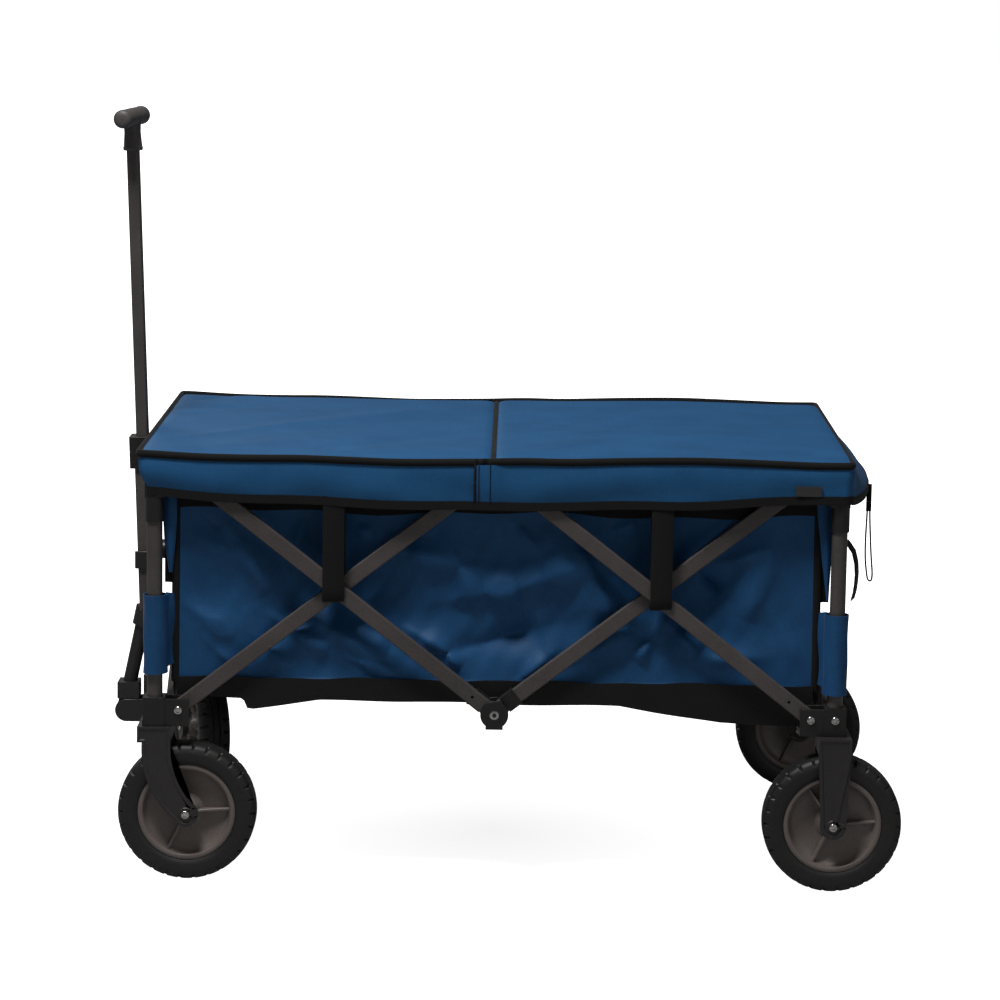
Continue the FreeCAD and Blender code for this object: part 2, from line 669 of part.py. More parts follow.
# ---------------------------------------------------------------- basket
LINER_X = POST_X - size.liner_gap_end
LINER_Y = POST_Y - size.liner_gap_side
wall = size.liner_wall
shell = box((-LINER_X, LINER_X), (-LINER_Y, LINER_Y), (size.liner_bottom, size.liner_top))
space = box((wall - LINER_X, LINER_X - wall), (wall - LINER_Y, LINER_Y - wall),
            (size.liner_bottom + size.liner_floor, size.liner_top + 10))
keep(cut(shell, space), "liner")

# ---------------------------------------------------------------- lid
LID_Y = POST_Y + CORNER_OUT + size.lid_overhang_side
LID_FRONT = -POST_X - CORNER_OUT - size.lid_overhang_front
LID_REAR = POST_X + CORNER_OUT + size.lid_overhang_rear
BOARD_Z = size.lid_top - size.lid_board
skirt = size.lid_skirt_wall


def lid_half(x_end, x_seam, end_wall):
    """A board with a skirt on its two sides, and on its end where end_wall says so."""
    whole = box((x_end, x_seam), (-LID_Y, LID_Y), (size.lid_skirt_bottom, size.lid_top))
    inward = 1 if x_seam > x_end else -1
    start = x_end + inward * skirt if end_wall else x_end - inward
    room = box((start, x_seam + inward), (skirt - LID_Y, LID_Y - skirt), (size.lid_skirt_bottom - 1, BOARD_Z))
    return cut(whole, room)


keep(lid_half(LID_FRONT, size.lid_seam_x - size.lid_seam_gap / 2, True), "lid_front")


def hem_wire(z, bow, inner_x, outer_x):
    """A strip across the cart whose two long edges bow rearward by the same amount at mid width."""
    y = LID_Y
    if bow < 0.1:
        edges = [Part.LineSegment(Vector(outer_x, -y, z), Vector(outer_x, y, z)).toShape(),
                 Part.LineSegment(Vector(inner_x, y, z), Vector(inner_x, -y, z)).toShape()]
    else:
        edges = [Part.Arc(Vector(outer_x, -y, z), Vector(outer_x + bow, 0, z), Vector(outer_x, y, z)).toShape(),
                 Part.Arc(Vector(inner_x, y, z), Vector(inner_x + bow, 0, z), Vector(inner_x, -y, z)).toShape()]
    edges.insert(1, Part.LineSegment(Vector(outer_x, y, z), Vector(inner_x, y, z)).toShape())
    edges.append(Part.LineSegment(Vector(inner_x, -y, z), Vector(outer_x, -y, z)).toShape())
    return Part.Wire(edges)


rear_open = lid_half(LID_REAR, size.lid_seam_x + size.lid_seam_gap / 2, False)
rear_skirt = doc.addObject("Part::Feature", "rear_skirt")
rear_skirt.Shape = Part.makeLoft([
    hem_wire(BOARD_Z + 1, 0.2, LID_REAR - skirt, LID_REAR),
    hem_wire(size.lid_skirt_bottom, size.skirt_bulge, LID_REAR - skirt, LID_REAR)], True, True)
keep(fuse(rear_open, rear_skirt), "lid_rear")

# ---------------------------------------------------------------- pull cord
# Loop that hangs from the rear skirt's hem. Points are (X from the hem point, Z), chosen by hand.
bow_radius = (LID_Y ** 2 + size.skirt_bulge ** 2) / (2 * size.skirt_bulge)
HEM_X = LID_REAR + size.skirt_bulge - bow_radius + math.sqrt(bow_radius ** 2 - size.cord_y ** 2) - skirt / 2
CORD_POINTS = [
    (-1.5, 500.0), (-1.6, 484.0), (-1.8, 462.0), (-2.9, 432.0), (-2.6, 404.0), (-0.2, 385.0),
    (1.6, 375.0), (6.8, 374.0), (7.6, 385.0), (5.4, 405.0), (3.4, 434.0), (1.7, 463.0),
    (1.6, 484.0), (1.5, 500.0)]


def rounded_path(points):
    """Straight runs joined by tangent arcs, each as large as its two runs allow."""
    edges = []
    radii = []
    last = points[0]
    for before, at, after in zip(points, points[1:], points[2:]):
        back = (before - at)
        ahead = (after - at)
        half_turn = (math.pi - back.getAngle(ahead)) / 2
        trim = 0.45 * min(back.Length, ahead.Length)
        radius = trim / math.tan(half_turn)
        radii.append(round(radius, 1))
        start = at + back.normalize() * trim
        stop = at + ahead.normalize() * trim
        bisector = (back + ahead).normalize()
        middle = at + bisector * (radius / math.cos(half_turn) - radius)
        edges.append(Part.LineSegment(last, start).toShape())
        edges.append(Part.Arc(start, middle, stop).toShape())
        last = stop
    edges.append(Part.LineSegment(last, points[-1]).toShape())
    return Part.Wire(edges), radii


route = [Vector(HEM_X + x, size.cord_y, z) for x, z in CORD_POINTS]
path, radii = rounded_path(route)
section = Part.Wire(Part.Circle(route[0], Vector(0, 0, -1), size.cord_radius).toShape())
cord = doc.addObject("Part::Feature", "cord")
cord.Shape = path.makePipeShell([section], True, True)
keep(cord, "pull_cord")
print("cord length", round(path.Length, 1), "radii", radii)
print("cord volume ratio", round(cord.Shape.Volume / (path.Length * math.pi * size.cord_radius ** 2), 4))

# ---------------------------------------------------------------- handle
PIVOT = Vector(HANDLE_X, 0, size.handle_pivot_z)
ELBOW = Vector(ELBOW_X, 0, size.elbow_z)
ARM_FOOT = Vector(ARM_FOOT_X, 0, size.arm_foot_z)
LEAN = Rotation(Y_AXIS, -size.handle_lean_degrees)
TUBE_WAY = LEAN.multVec(Z_AXIS)


def on_tube(z):
    """The point on the handle tubes' axis at a height."""
    return ELBOW + TUBE_WAY * ((z - size.elbow_z) / TUBE_WAY.z)


def tube_bar(width, breadth, low_z, high_z):
    """A bar with rounded corners along the handle's axis."""
    bar = doc.addObject("Part::Box", "tube_bar")
    bar.Height = (on_tube(high_z) - on_tube(low_z)).Length
    bind(bar, Length=width, Width=breadth)
    corner_at = LEAN.multVec(Vector(-bar.Length.Value / 2, -bar.Width.Value / 2, 0))
    bar.Placement = Placement(on_tube(low_z) + corner_at, LEAN)
    doc.recompute()
    edges = [(number, 3.0, 3.0) for number, edge in enumerate(bar.Shape.Edges, start=1)
             if abs(edge.tangentAt(0).dot(TUBE_WAY)) > 0.99]
    rounded = doc.addObject("Part::Fillet", "tube_round")
    rounded.Base = bar
    rounded.Edges = edges
    return rounded


arm_way = (ELBOW - ARM_FOOT)
arm_tongue_half = size.arm_radius + 0.5
socket_low = size.handle_pivot_z + size.socket_drop
elbow_low = ARM_FOOT + arm_way * ((278 - size.arm_foot_z) / (size.elbow_z - size.arm_foot_z))
arm = fuse(
    cylinder("sizes.arm_radius", ARM_FOOT, arm_way, arm_way.Length),
    cylinder("sizes.arm_radius + 4", elbow_low, arm_way, 26),
    box((ARM_FOOT_X - 15, ARM_FOOT_X + 14), (-arm_tongue_half - 6, arm_tongue_half + 6),
        (socket_low, socket_low + 22)),
    box((HANDLE_X - 11, HANDLE_X + 11), (-arm_tongue_half, arm_tongue_half),
        (size.handle_pivot_z, socket_low + 2)),
    cylinder("11", PIVOT - Y_AXIS * arm_tongue_half, Y_AXIS, 2 * arm_tongue_half))
pivot_hole = cylinder("sizes.bolt_radius + sizes.bolt_clearance", PIVOT - Y_AXIS * 40, Y_AXIS, 80)
tube_room = tube_bar("sizes.outer_tube_width", "sizes.outer_tube_breadth", 300, 340)
keep(cut(arm, pivot_hole, tube_room), "handle_arm")
outer_tube = cut(
    tube_bar("sizes.outer_tube_width", "sizes.outer_tube_breadth", 300, size.outer_tube_top_z),
    tube_bar("sizes.inner_tube_width + 2 * sizes.tube_clearance",
             "sizes.inner_tube_breadth + 2 * sizes.tube_clearance", 304, size.outer_tube_top_z + 20))
keep(outer_tube, "handle_outer_tube")
collar = cut(
    tube_bar("sizes.collar_width", "sizes.collar_width", size.collar_low_z, size.collar_high_z),
    tube_bar("sizes.outer_tube_width", "sizes.outer_tube_breadth", size.collar_low_z - 20,
             size.outer_tube_top_z),
    tube_bar("sizes.inner_tube_width + 2 * sizes.tube_clearance",
             "sizes.inner_tube_breadth + 2 * sizes.tube_clearance", 450, 600))
keep(collar, "handle_collar")
inner_tube = cut(
    tube_bar("sizes.inner_tube_width", "sizes.inner_tube_breadth", size.inner_tube_low_z, size.neck_z + 10),
    tube_bar("sizes.inner_tube_width - 3", "sizes.inner_tube_breadth - 3", 400, size.neck_z))
keep(inner_tube, "handle_inner_tube")
grip_centre = on_tube(size.grip_z)
grip_way = Rotation(Z_AXIS, size.grip_turn_degrees).multVec(Y_AXIS)
neck_run = size.grip_z - size.neck_z
grip = cut(
    fuse(cylinder("sizes.neck_radius + 1.5", on_tube(size.neck_z), TUBE_WAY, neck_run),
         cylinder("sizes.grip_radius", grip_centre - grip_way * size.grip_half, grip_way, 2 * size.grip_half)),
    tube_bar("sizes.inner_tube_width", "sizes.inner_tube_breadth", size.neck_z - 20, size.neck_z + 10))
keep(grip, "grip")

# mount plate: hangs from the front crossing, carries the clevis below and the clip that holds the handle up
clevis_in = arm_tongue_half + size.clevis_gap
clevis_out = clevis_in + size.clevis_thick
radius = size.clevis_radius
mount_pieces = [
    box((SPINE_FRONT, SPINE_REAR), (-size.spine_half, size.spine_half),
        (size.spine_bottom_z, size.spine_top_z)),
    box((HANDLE_X + radius + 8, SPINE_REAR), (-clevis_out, clevis_out),
        (size.spine_bottom_z, size.handle_pivot_z + radius + 34)),
    cylinder("sizes.boss_radius", Vector(SPINE_REAR - 1, 0, MID_Z), X_AXIS,
             -SPINE_REAR + 1 - (END_X + STACK)),
    cylinder("sizes.bolt_radius", Vector(SPINE_REAR - 1, 0, MID_Z), X_AXIS,
             -SPINE_REAR + 1 - (END_X - STACK)),
    cylinder("sizes.bolt_head_radius", Vector(-(END_X - STACK), 0, MID_Z), X_AXIS, 2),
]
clip_in = size.outer_tube_breadth / 2 + 0.5
for sign in (-1, 1):
    mount_pieces.append(box(
        (HANDLE_X, SPINE_REAR), (sign * clevis_in, sign * clevis_out),
        (size.handle_pivot_z - radius, size.handle_pivot_z + radius)))
    mount_pieces.append(cylinder(
        "sizes.clevis_radius", Vector(HANDLE_X, sign * clevis_in, size.handle_pivot_z),
        Vector(0, sign, 0), size.clevis_thick))
    mount_pieces.append(box(
        (CLIP_FRONT, SPINE_REAR), (sign * clip_in, sign * (clip_in + size.clip_wall)),
        (size.clip_low_z, size.clip_high_z)))
mount_pieces.append(cylinder("sizes.bolt_radius", PIVOT - Y_AXIS * clevis_out, Y_AXIS, 2 * clevis_out))
mount_pieces.append(box(
    (SPINE_FRONT - 1, SPINE_REAR), (-clip_in - 1, clip_in + 1), (size.clip_low_z, size.clip_high_z)))
keep(fuse(*mount_pieces), "handle_mount")

# ---------------------------------------------------------------- checks and export
doc.recompute()
faults = [item.Label for item in doc.Objects if {"Invalid", "Error"} & set(item.State)]
for piece in nodes:
    shape = piece.Shape
    if shape.isNull() or not shape.isValid() or not shape.Solids:
        faults.append(piece.Label + " shape")
if faults:
    sys.exit("failed objects: " + ", ".join(faults))
os.makedirs("parts", exist_ok=True)
for piece in nodes:
    piece.Shape.exportStep("parts/%s.step" % piece.Label)
print(len(nodes), "nodes written")
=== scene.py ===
# %% [markdown]
# # A folding beach cart
# The frame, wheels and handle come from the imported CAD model, in metres, with +X from the handle to the rear,
# +Y across and +Z up. This lesson dresses them: fabric basket and lid, webbing, moulded plastic, tyres, light.

# %% Load the frame
import json
import math
import bmesh
import bpy
import numpy as np
from mathutils import Matrix, Vector

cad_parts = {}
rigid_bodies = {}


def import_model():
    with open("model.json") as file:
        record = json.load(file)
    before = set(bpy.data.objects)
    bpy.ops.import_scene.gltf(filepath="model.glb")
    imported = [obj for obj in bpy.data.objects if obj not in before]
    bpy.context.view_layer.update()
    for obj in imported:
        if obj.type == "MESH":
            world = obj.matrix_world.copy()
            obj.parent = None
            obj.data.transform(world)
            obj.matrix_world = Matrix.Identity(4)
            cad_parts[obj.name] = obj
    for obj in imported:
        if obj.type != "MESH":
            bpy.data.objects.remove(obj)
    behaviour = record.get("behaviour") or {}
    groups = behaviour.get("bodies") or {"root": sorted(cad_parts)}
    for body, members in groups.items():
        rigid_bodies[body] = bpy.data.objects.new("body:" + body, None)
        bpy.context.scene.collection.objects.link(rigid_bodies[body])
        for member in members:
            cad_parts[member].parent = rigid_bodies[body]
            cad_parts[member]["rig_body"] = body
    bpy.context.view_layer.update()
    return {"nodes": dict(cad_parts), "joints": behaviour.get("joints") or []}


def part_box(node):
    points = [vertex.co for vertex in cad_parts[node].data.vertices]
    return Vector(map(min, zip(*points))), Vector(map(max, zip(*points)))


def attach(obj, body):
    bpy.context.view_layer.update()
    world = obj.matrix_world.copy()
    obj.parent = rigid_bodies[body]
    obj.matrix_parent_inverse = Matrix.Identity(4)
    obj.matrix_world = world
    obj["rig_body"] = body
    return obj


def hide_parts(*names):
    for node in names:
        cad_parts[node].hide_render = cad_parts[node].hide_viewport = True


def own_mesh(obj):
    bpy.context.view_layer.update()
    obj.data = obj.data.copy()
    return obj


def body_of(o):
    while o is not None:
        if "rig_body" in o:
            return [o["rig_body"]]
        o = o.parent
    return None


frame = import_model()
scene = bpy.context.scene
MM = 0.001

# %% [markdown]
# ## Camera
# A cart is photographed from some metres away with a long lens, so its near and far sides look almost the
# same size. The lens looks slightly down, and the frame is shifted so that the cart sits in the middle.

# %% Camera
YAW, TILT, ROLL = (math.radians(angle) for angle in (-0.28, 8.01, 0.87))
ahead = Vector((math.sin(YAW) * math.cos(TILT), math.cos(YAW) * math.cos(TILT), -math.sin(TILT)))
level = Vector((math.cos(YAW), -math.sin(YAW), 0))
above = level.cross(ahead)
right = level * math.cos(ROLL) + above * math.sin(ROLL)
above = above * math.cos(ROLL) - level * math.sin(ROLL)
camera = bpy.data.objects.new("camera", bpy.data.cameras.new("camera"))
camera.matrix_world = Matrix.Translation((0.02037, -4.22365, 1.20226)) @ Matrix(
    (right, above, -ahead)).transposed().to_4x4()
camera.data.lens = 114.4
camera.data.sensor_width = 36
camera.data.shift_y = -0.1107
scene.collection.objects.link(camera)
scene.camera = camera
print("camera looks along", [round(part, 3) for part in ahead])

# %% [markdown]
# ## Materials
# Every finish is a small node tree on one shader. Colour varies a little with noise at the scale of the real
# surface, and the same pattern drives a bump, so light catches the weave or the moulding's grain.


# %% A base for every finish
class Finish:
    """One material: a shader, object coordinates, and short calls that add and link nodes."""

    def __init__(self, name, roughness, metallic=0.0):
        self.material = bpy.data.materials.new(name)
        self.material.use_nodes = True
        self.nodes = self.material.node_tree.nodes
        self.links = self.material.node_tree.links
        self.shader = self.nodes["Principled BSDF"]
        self.shader.inputs["Roughness"].default_value = roughness
        self.shader.inputs["Metallic"].default_value = metallic
        self.place = self.nodes.new("ShaderNodeTexCoord").outputs["Object"]

    def add(self, kind, **settings):
        node = self.nodes.new("ShaderNode" + kind)
        for key, value in settings.items():
            if key in node.inputs:
                node.inputs[key].default_value = value
            else:
                setattr(node, key, value)
        return node

    def noise(self, scale, detail=3.0, roughness=0.6):
        node = self.add("TexNoise", Scale=scale, Detail=detail, Roughness=roughness)
        self.links.new(self.place, node.inputs["Vector"])
        return node.outputs["Fac"]

    def wave(self, direction, pitch):
        """Smooth ridges across one axis, one every pitch metres."""
        node = self.add("TexWave", bands_direction=direction, Scale=math.pi / (10 * pitch), Distortion=0.0)
        self.links.new(self.place, node.inputs["Vector"])
        return node.outputs["Fac"]

    def math(self, operation, first, second):
        node = self.add("Math", operation=operation)
        for socket, value in zip(node.inputs, (first, second)):
            if isinstance(value, (int, float)):
                socket.default_value = value
            else:
                self.links.new(value, socket)
        return node.outputs[0]

    def tint(self, factor, dark, light, low=0.0, high=1.0):
        """Colour from a factor, between a dark and a light colour."""
        node = self.add("ValToRGB")
        ends = node.color_ramp.elements
        ends[0].position, ends[1].position = low, high
        ends[0].color, ends[1].color = (*dark, 1), (*light, 1)
        self.links.new(factor, node.inputs["Fac"])
        self.links.new(node.outputs["Color"], self.shader.inputs["Base Color"])

    def bump(self, height, strength, distance):
        node = self.add("Bump", Strength=strength, Distance=distance)
        self.links.new(height, node.inputs["Height"])
        self.links.new(node.outputs["Normal"], self.shader.inputs["Normal"])

    def set(self, **sockets):
        for name, value in sockets.items():
            self.shader.inputs[name.replace("_", " ")].default_value = value


# %% [markdown]
# ### Woven polyester
# The basket and lid are a plain weave with a stronger yarn every few millimetres, which shows as a faint grid.
# Three sets of ridges, one for each axis, give yarns on a face that points any way.

# %% Fabric
GRID = 0.0030
YARN = 0.0010


def woven(name, dark, light, sheen=0.04):
    finish = Finish(name, 0.62)
    ripstop = finish.wave("X", GRID)
    fine = finish.wave("X", YARN)
    for direction in ("Y", "Z"):
        ripstop = finish.math("MULTIPLY", ripstop, finish.math("ADD", finish.wave(direction, GRID), 0.25))
        fine = finish.math("ADD", fine, finish.wave(direction, YARN))
    patch = finish.noise(14.0, 4.0)
    slub = finish.noise(420.0, 2.0)
    mix = finish.math("ADD", finish.math("MULTIPLY", patch, 0.55), finish.math("MULTIPLY", slub, 0.3))
    mix = finish.math("ADD", mix, finish.math("MULTIPLY", ripstop, 0.08))
    finish.tint(mix, dark, light, 0.3, 0.75)
    height = finish.math("ADD", finish.math("MULTIPLY", fine, 0.3), finish.math("MULTIPLY", ripstop, 0.8))
    finish.bump(height, 0.24, 0.0004)
    finish.set(Sheen_Weight=sheen, Sheen_Roughness=0.35, Sheen_Tint=(0.6, 0.5, 0.9, 1.0), Specular_IOR_Level=0.28)
    return finish.material


BLUE = woven("basket_polyester", (0.0045, 0.052, 0.145), (0.0115, 0.088, 0.230), 0.16)
# The lid's cloth is the basket's fabric painted lighter: painted light standing in for the stronger light falling on
# the lid.
LID_BLUE_PAINTED_LIGHTER = woven("lid_polyester_painted_lighter", (0.0055, 0.068, 0.180), (0.0120, 0.104, 0.255), 0.02)
BASE_BLACK = woven("base_fabric", (0.0035, 0.0035, 0.004), (0.008, 0.008, 0.009))

# %% [markdown]
# ### Webbing and binding tape
# Straps, hems and piping are a black ribbed tape. Its ribs are close, so it reads as a soft, even black.

# %% Webbing
webbing = Finish("webbing", 0.85)
ribs = webbing.math("ADD", webbing.wave("DIAGONAL", 0.0016), webbing.noise(600.0))
webbing.tint(ribs, (0.0020, 0.0020, 0.0022), (0.0062, 0.0062, 0.0066), 0.4, 1.8)
webbing.bump(ribs, 0.5, 0.0003)
webbing.set(Sheen_Weight=0.04, Specular_IOR_Level=0.25)
WEBBING = webbing.material

tab_finish = Finish("tab_weave", 0.8)
tab_weave = tab_finish.math("ADD", tab_finish.wave("X", 0.0012), tab_finish.wave("Z", 0.0012))
tab_finish.tint(tab_weave, (0.020, 0.020, 0.022), (0.050, 0.048, 0.050), 0.2, 1.8)
tab_finish.bump(tab_weave, 0.4, 0.0002)
TAB = tab_finish.material

# %% [markdown]
# ### Coated steel and moulded plastic
# The tubes have a warm dark powder coat with a fine sparkle. The mouldings are black with a matt grain, and
# the rims a warm grey. All three are the same recipe with other numbers.


# %% Hard finishes
def coated(name, dark, light, roughness, grain, depth, coat=0.0):
    finish = Finish(name, roughness)
    speck = finish.noise(grain, 2.0)
    cloud = finish.noise(9.0, 4.0)
    mix = finish.math("ADD", finish.math("MULTIPLY", speck, 0.6), finish.math("MULTIPLY", cloud, 0.4))
    finish.tint(mix, dark, light, 0.35, 0.65)
    finish.bump(speck, 0.35, depth)
    wear = finish.math("ADD", finish.math("MULTIPLY", cloud, 0.22), roughness - 0.11)
    finish.links.new(wear, finish.shader.inputs["Roughness"])
    if coat:
        finish.set(Coat_Weight=coat, Coat_Roughness=0.3)
    return finish.material


STEEL = coated("powder_coat", (0.040, 0.034, 0.032), (0.085, 0.074, 0.070), 0.5, 900.0, 0.0002, coat=0.1)
BLACK_STEEL = coated("black_coat", (0.010, 0.009, 0.009), (0.020, 0.018, 0.018), 0.45, 900.0, 0.0002, coat=0.15)
MOULDING = coated("black_moulding", (0.0040, 0.0040, 0.0042), (0.0100, 0.0094, 0.0094), 0.5, 700.0, 0.0002)
FORK = coated("fork_moulding", (0.016, 0.0135, 0.014), (0.028, 0.025, 0.025), 0.5, 700.0, 0.00025)
RIM = coated("rim_moulding", (0.118, 0.097, 0.088), (0.160, 0.134, 0.122), 0.42, 500.0, 0.00015)
RUBBER = coated("tyre_rubber", (0.0045, 0.0045, 0.0045), (0.011, 0.0105, 0.010), 0.55, 350.0, 0.0003)
GRIP = coated("grip_rubber", (0.055, 0.049, 0.046), (0.090, 0.082, 0.078), 0.5, 600.0, 0.0002)

fastener = Finish("fastener_steel", 0.22, 1.0)
fastener.tint(fastener.noise(300.0), (0.42, 0.40, 0.38), (0.62, 0.60, 0.58), 0.3, 0.7)
fastener.bump(fastener.noise(800.0), 0.1, 0.0001)
FASTENER = fastener.material

# %% [markdown]
# ## Mesh helpers
# Cloth, tapes and wheels all start as a grid of points worked out by a formula. A few helpers turn such grids
# into closed thin slabs, swept tapes or turned parts, so that each piece has a real thickness and edges.


# %% Helpers for new pieces
def piece(name, points, faces, material, slot, body):
    """A mesh object that rides on a body and takes the given material; slot is not used."""
    mesh = bpy.data.meshes.new(name)
    mesh.from_pydata([tuple(point) for point in points], [], faces)
    work = bmesh.new()
    work.from_mesh(mesh)
    bmesh.ops.recalc_face_normals(work, faces=work.faces)
    work.to_mesh(mesh)
    work.free()
    mesh.materials.append(material)
    made = bpy.data.objects.new(name, mesh)
    scene.collection.objects.link(made)
    mesh.polygons.foreach_set("use_smooth", [True] * len(mesh.polygons))
    mesh.set_sharp_from_angle(angle=math.radians(38))
    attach(made, body)
    return made


def normals(grid):
    """Unit normals of a grid of points, shape (rows, columns, 3)."""
    across = np.gradient(grid, axis=0)
    along = np.gradient(grid, axis=1)
    normal = np.cross(across, along)
    return normal / np.maximum(np.linalg.norm(normal, axis=2, keepdims=True), 1e-12)


def closed_grid(front, back):
    """Points and faces of a closed sheet between two grids of the same size."""
    rows, columns = front.shape[:2]
    count = rows * columns
    faces = []
    for row in range(rows - 1):
        for start in range(row * columns, row * columns + columns - 1):
            ring = [start, start + 1, start + columns + 1, start + columns]
            faces += [ring, [count + index for index in reversed(ring)]]
    edge = list(range(columns)) + [row * columns + columns - 1 for row in range(1, rows)]
    edge += [(rows - 1) * columns + column for column in range(columns - 2, -1, -1)]
    edge += [row * columns for row in range(rows - 2, 0, -1)]
    faces += [[first, count + first, count + second, second] for first, second in zip(edge, edge[1:] + edge[:1])]
    return np.concatenate([front.reshape(-1, 3), back.reshape(-1, 3)]), faces


def slab(name, grid, thickness, material, slot, body):
    """A closed sheet: the grid is its outer face, and thickness is laid on the side away from its normals."""
    points, faces = closed_grid(grid, grid - normals(grid) * thickness)
    return piece(name, points, faces, material, slot, body)


def tube_faces(number, size):
    """Faces of a tube of a number of rings, each of the same size, closed at both ends."""
    faces = [[k * size + j, k * size + (j + 1) % size, (k + 1) * size + (j + 1) % size, (k + 1) * size + j]
             for k in range(number - 1) for j in range(size)]
    return faces + [list(range(size)), [(number - 1) * size + j for j in reversed(range(size))]]


def sweep(name, path, section, material, slot, body, up=(0, 0, 1)):
    """A section of (sideways, upward) points carried along a path."""
    path = np.array(path, float)
    ahead_of = np.gradient(path, axis=0)
    ahead_of /= np.linalg.norm(ahead_of, axis=1, keepdims=True)
    side = np.cross(ahead_of, np.array(up, float))
    side /= np.linalg.norm(side, axis=1, keepdims=True)
    rise = np.cross(side, ahead_of)
    rings = [spot + side[k] * u + rise[k] * v for k, spot in enumerate(path) for u, v in section]
    return piece(name, rings, tube_faces(len(path), len(section)), material, slot, body)


def oval(width, height, sides=10):
    return [(width / 2 * math.cos(2 * math.pi * k / sides), height / 2 * math.sin(2 * math.pi * k / sides))
            for k in range(sides)]


def turned(profile, segments, centre, axis, shape=None):
    """Points and faces of a closed profile of (along, radius) turned about an axis.

    shape(angle, along, radius) may return another radius, for treads and sockets."""
    axis = Vector(axis).normalized()
    first = axis.orthogonal().normalized() if abs(axis.z) > 0.9 else Vector((0, 0, 1))
    second = axis.cross(first)
    points, faces = [], []
    for k in range(segments):
        angle = 2 * math.pi * k / segments
        way = first * math.cos(angle) + second * math.sin(angle)
        for along, radius in profile:
            reach = shape(angle, along, radius) if shape else radius
            points.append(Vector(centre) + axis * along + way * reach)
    size = len(profile)
    for k in range(segments):
        after = (k + 1) % segments
        for j in range(size):
            nxt = (j + 1) % size
            faces.append([k * size + j, after * size + j, after * size + nxt, k * size + nxt])
    return points, faces


def joined(*meshes):
    """Several (points, faces) meshes as one."""
    points, faces = [], []
    for more, more_faces in meshes:
        base = len(points)
        points += more
        faces += [[base + index for index in face] for face in more_faces]
    return points, faces


def scaled(profile):
    """A profile in millimetres as metres."""
    return [(along * MM, radius * MM) for along, radius in profile]


def mirrored(half):
    """A profile from its half with negative places, and the same half turned over."""
    return half + [(-along, radius) for along, radius in reversed(half)]


def centre_of(node):
    """The middle of a CAD node's box."""
    low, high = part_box(node)
    return (low + high) / 2


def middle(node, axis):
    """The middle of a CAD node's box along one axis."""
    low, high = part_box(node)
    return (low[axis] + high[axis]) / 2


# %% [markdown]
# ## Mouldings taken from the CAD
# Brackets, forks and handle fittings already have the right shape, but a real moulding has rounded edges and
# often a panel sunk inside a raised border. A copy of the CAD mesh has its flat faces rejoined and its edges
# bevelled, and where a direction is given its large faces along it are sunk a little. The CAD node's mesh is never
# changed.


# %% Moulded copies
BORDER, SUNK, LEAST = 0.0042, 0.0012, 0.0006    # a panel's border and depth, and the smallest face that has one


def moulded(node, material, bevel, panel=None):
    """A softened copy of a CAD node. panel is the direction that its sunk faces look along."""
    source = frame["nodes"][node]
    made = bpy.data.objects.new(node + "_shell", source.data.copy())
    scene.collection.objects.link(made)
    work = bmesh.new()
    work.from_mesh(made.data)
    bmesh.ops.remove_doubles(work, verts=work.verts, dist=1e-6)
    bmesh.ops.dissolve_limit(work, angle_limit=math.radians(2), verts=work.verts, edges=work.edges)
    if panel:
        look = Vector(panel).normalized()
        chosen = [face for face in work.faces
                  if abs(face.normal.dot(look)) > 0.99 and face.calc_area() > LEAST]
        for face in chosen:
            bmesh.ops.inset_region(work, faces=[face], thickness=BORDER, depth=0)
            bmesh.ops.inset_region(work, faces=[face], thickness=SUNK, depth=-SUNK)
    work.to_mesh(made.data)
    work.free()
    made.data.materials.clear()
    made.data.materials.append(material)
    made.data.polygons.foreach_set("use_smooth", [True] * len(made.data.polygons))
    made.data.set_sharp_from_angle(angle=math.radians(35))
    soften = made.modifiers.new("soften", "BEVEL")
    soften.width = bevel
    soften.segments = 2
    soften.limit_method = "ANGLE"
    soften.angle_limit = math.radians(35)
    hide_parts(node)
    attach(made, body_of(source)[0])


def finish_node(name, material):
    """Give a CAD node that stays its finish."""
    mesh = frame["nodes"][name].data
    mesh.materials.clear()
    mesh.materials.append(material)


CORNERS = ("front_near", "front_far", "rear_near", "rear_far")
for name in frame["nodes"]:
    if name.startswith(("post_", "inner_post_", "strut_", "handle_outer", "handle_inner")):
        finish_node(name, STEEL)
for corner in CORNERS:
    moulded("lower_bracket_" + corner, MOULDING, 0.0015)
    moulded("upper_bracket_" + corner, MOULDING, 0.001)
for side in ("near", "far"):
    moulded("mid_foot_" + side, MOULDING, 0.0015)
    moulded("mid_top_" + side, MOULDING, 0.001)
moulded("handle_mount", BLACK_STEEL, 0.0012)
moulded("handle_arm", BLACK_STEEL, 0.0015)
moulded("handle_collar", MOULDING, 0.002)

# %% [markdown]
# ## Screws
# The CAD bolts are plain cylinders. Real ones are button-headed screws with a hexagon socket, so each loose
# part of a bolt node is measured, and a turned screw of the same length and head takes its place.


# %% Button-headed screws
def loose_parts(mesh):
    """The corner points of each separate part of a mesh."""
    work = bmesh.new()
    work.from_mesh(mesh)
    bmesh.ops.remove_doubles(work, verts=work.verts, dist=1e-6)
    left, parts = set(work.verts), []
    while left:
        stack, found = [left.pop()], []
        while stack:
            vertex = stack.pop()
            found.append(vertex.co.copy())
            for edge in vertex.link_edges:
                other = edge.other_vert(vertex)
                if other in left:
                    left.discard(other)
                    stack.append(other)
        parts.append(np.array(found))
    work.free()
    return parts


KEY = 2.6    # radius of the socket for the key, in mm


def hexagon(angle, along, radius):
    """Radii of the key's size become a hexagon."""
    if abs(radius - KEY * MM) > 1e-6:
        return radius
    turn = (angle % (math.pi / 3)) - math.pi / 6
    return radius * math.cos(math.pi / 6) / math.cos(turn) * 1.12


HEAD = [(1.7, 0.02), (1.7, KEY), (0.2, KEY), (0.0, 3.2), (0.25, 4.2), (0.8, 5.0), (1.5, 5.45), (2.6, 5.5), (2.6, 3.0)]


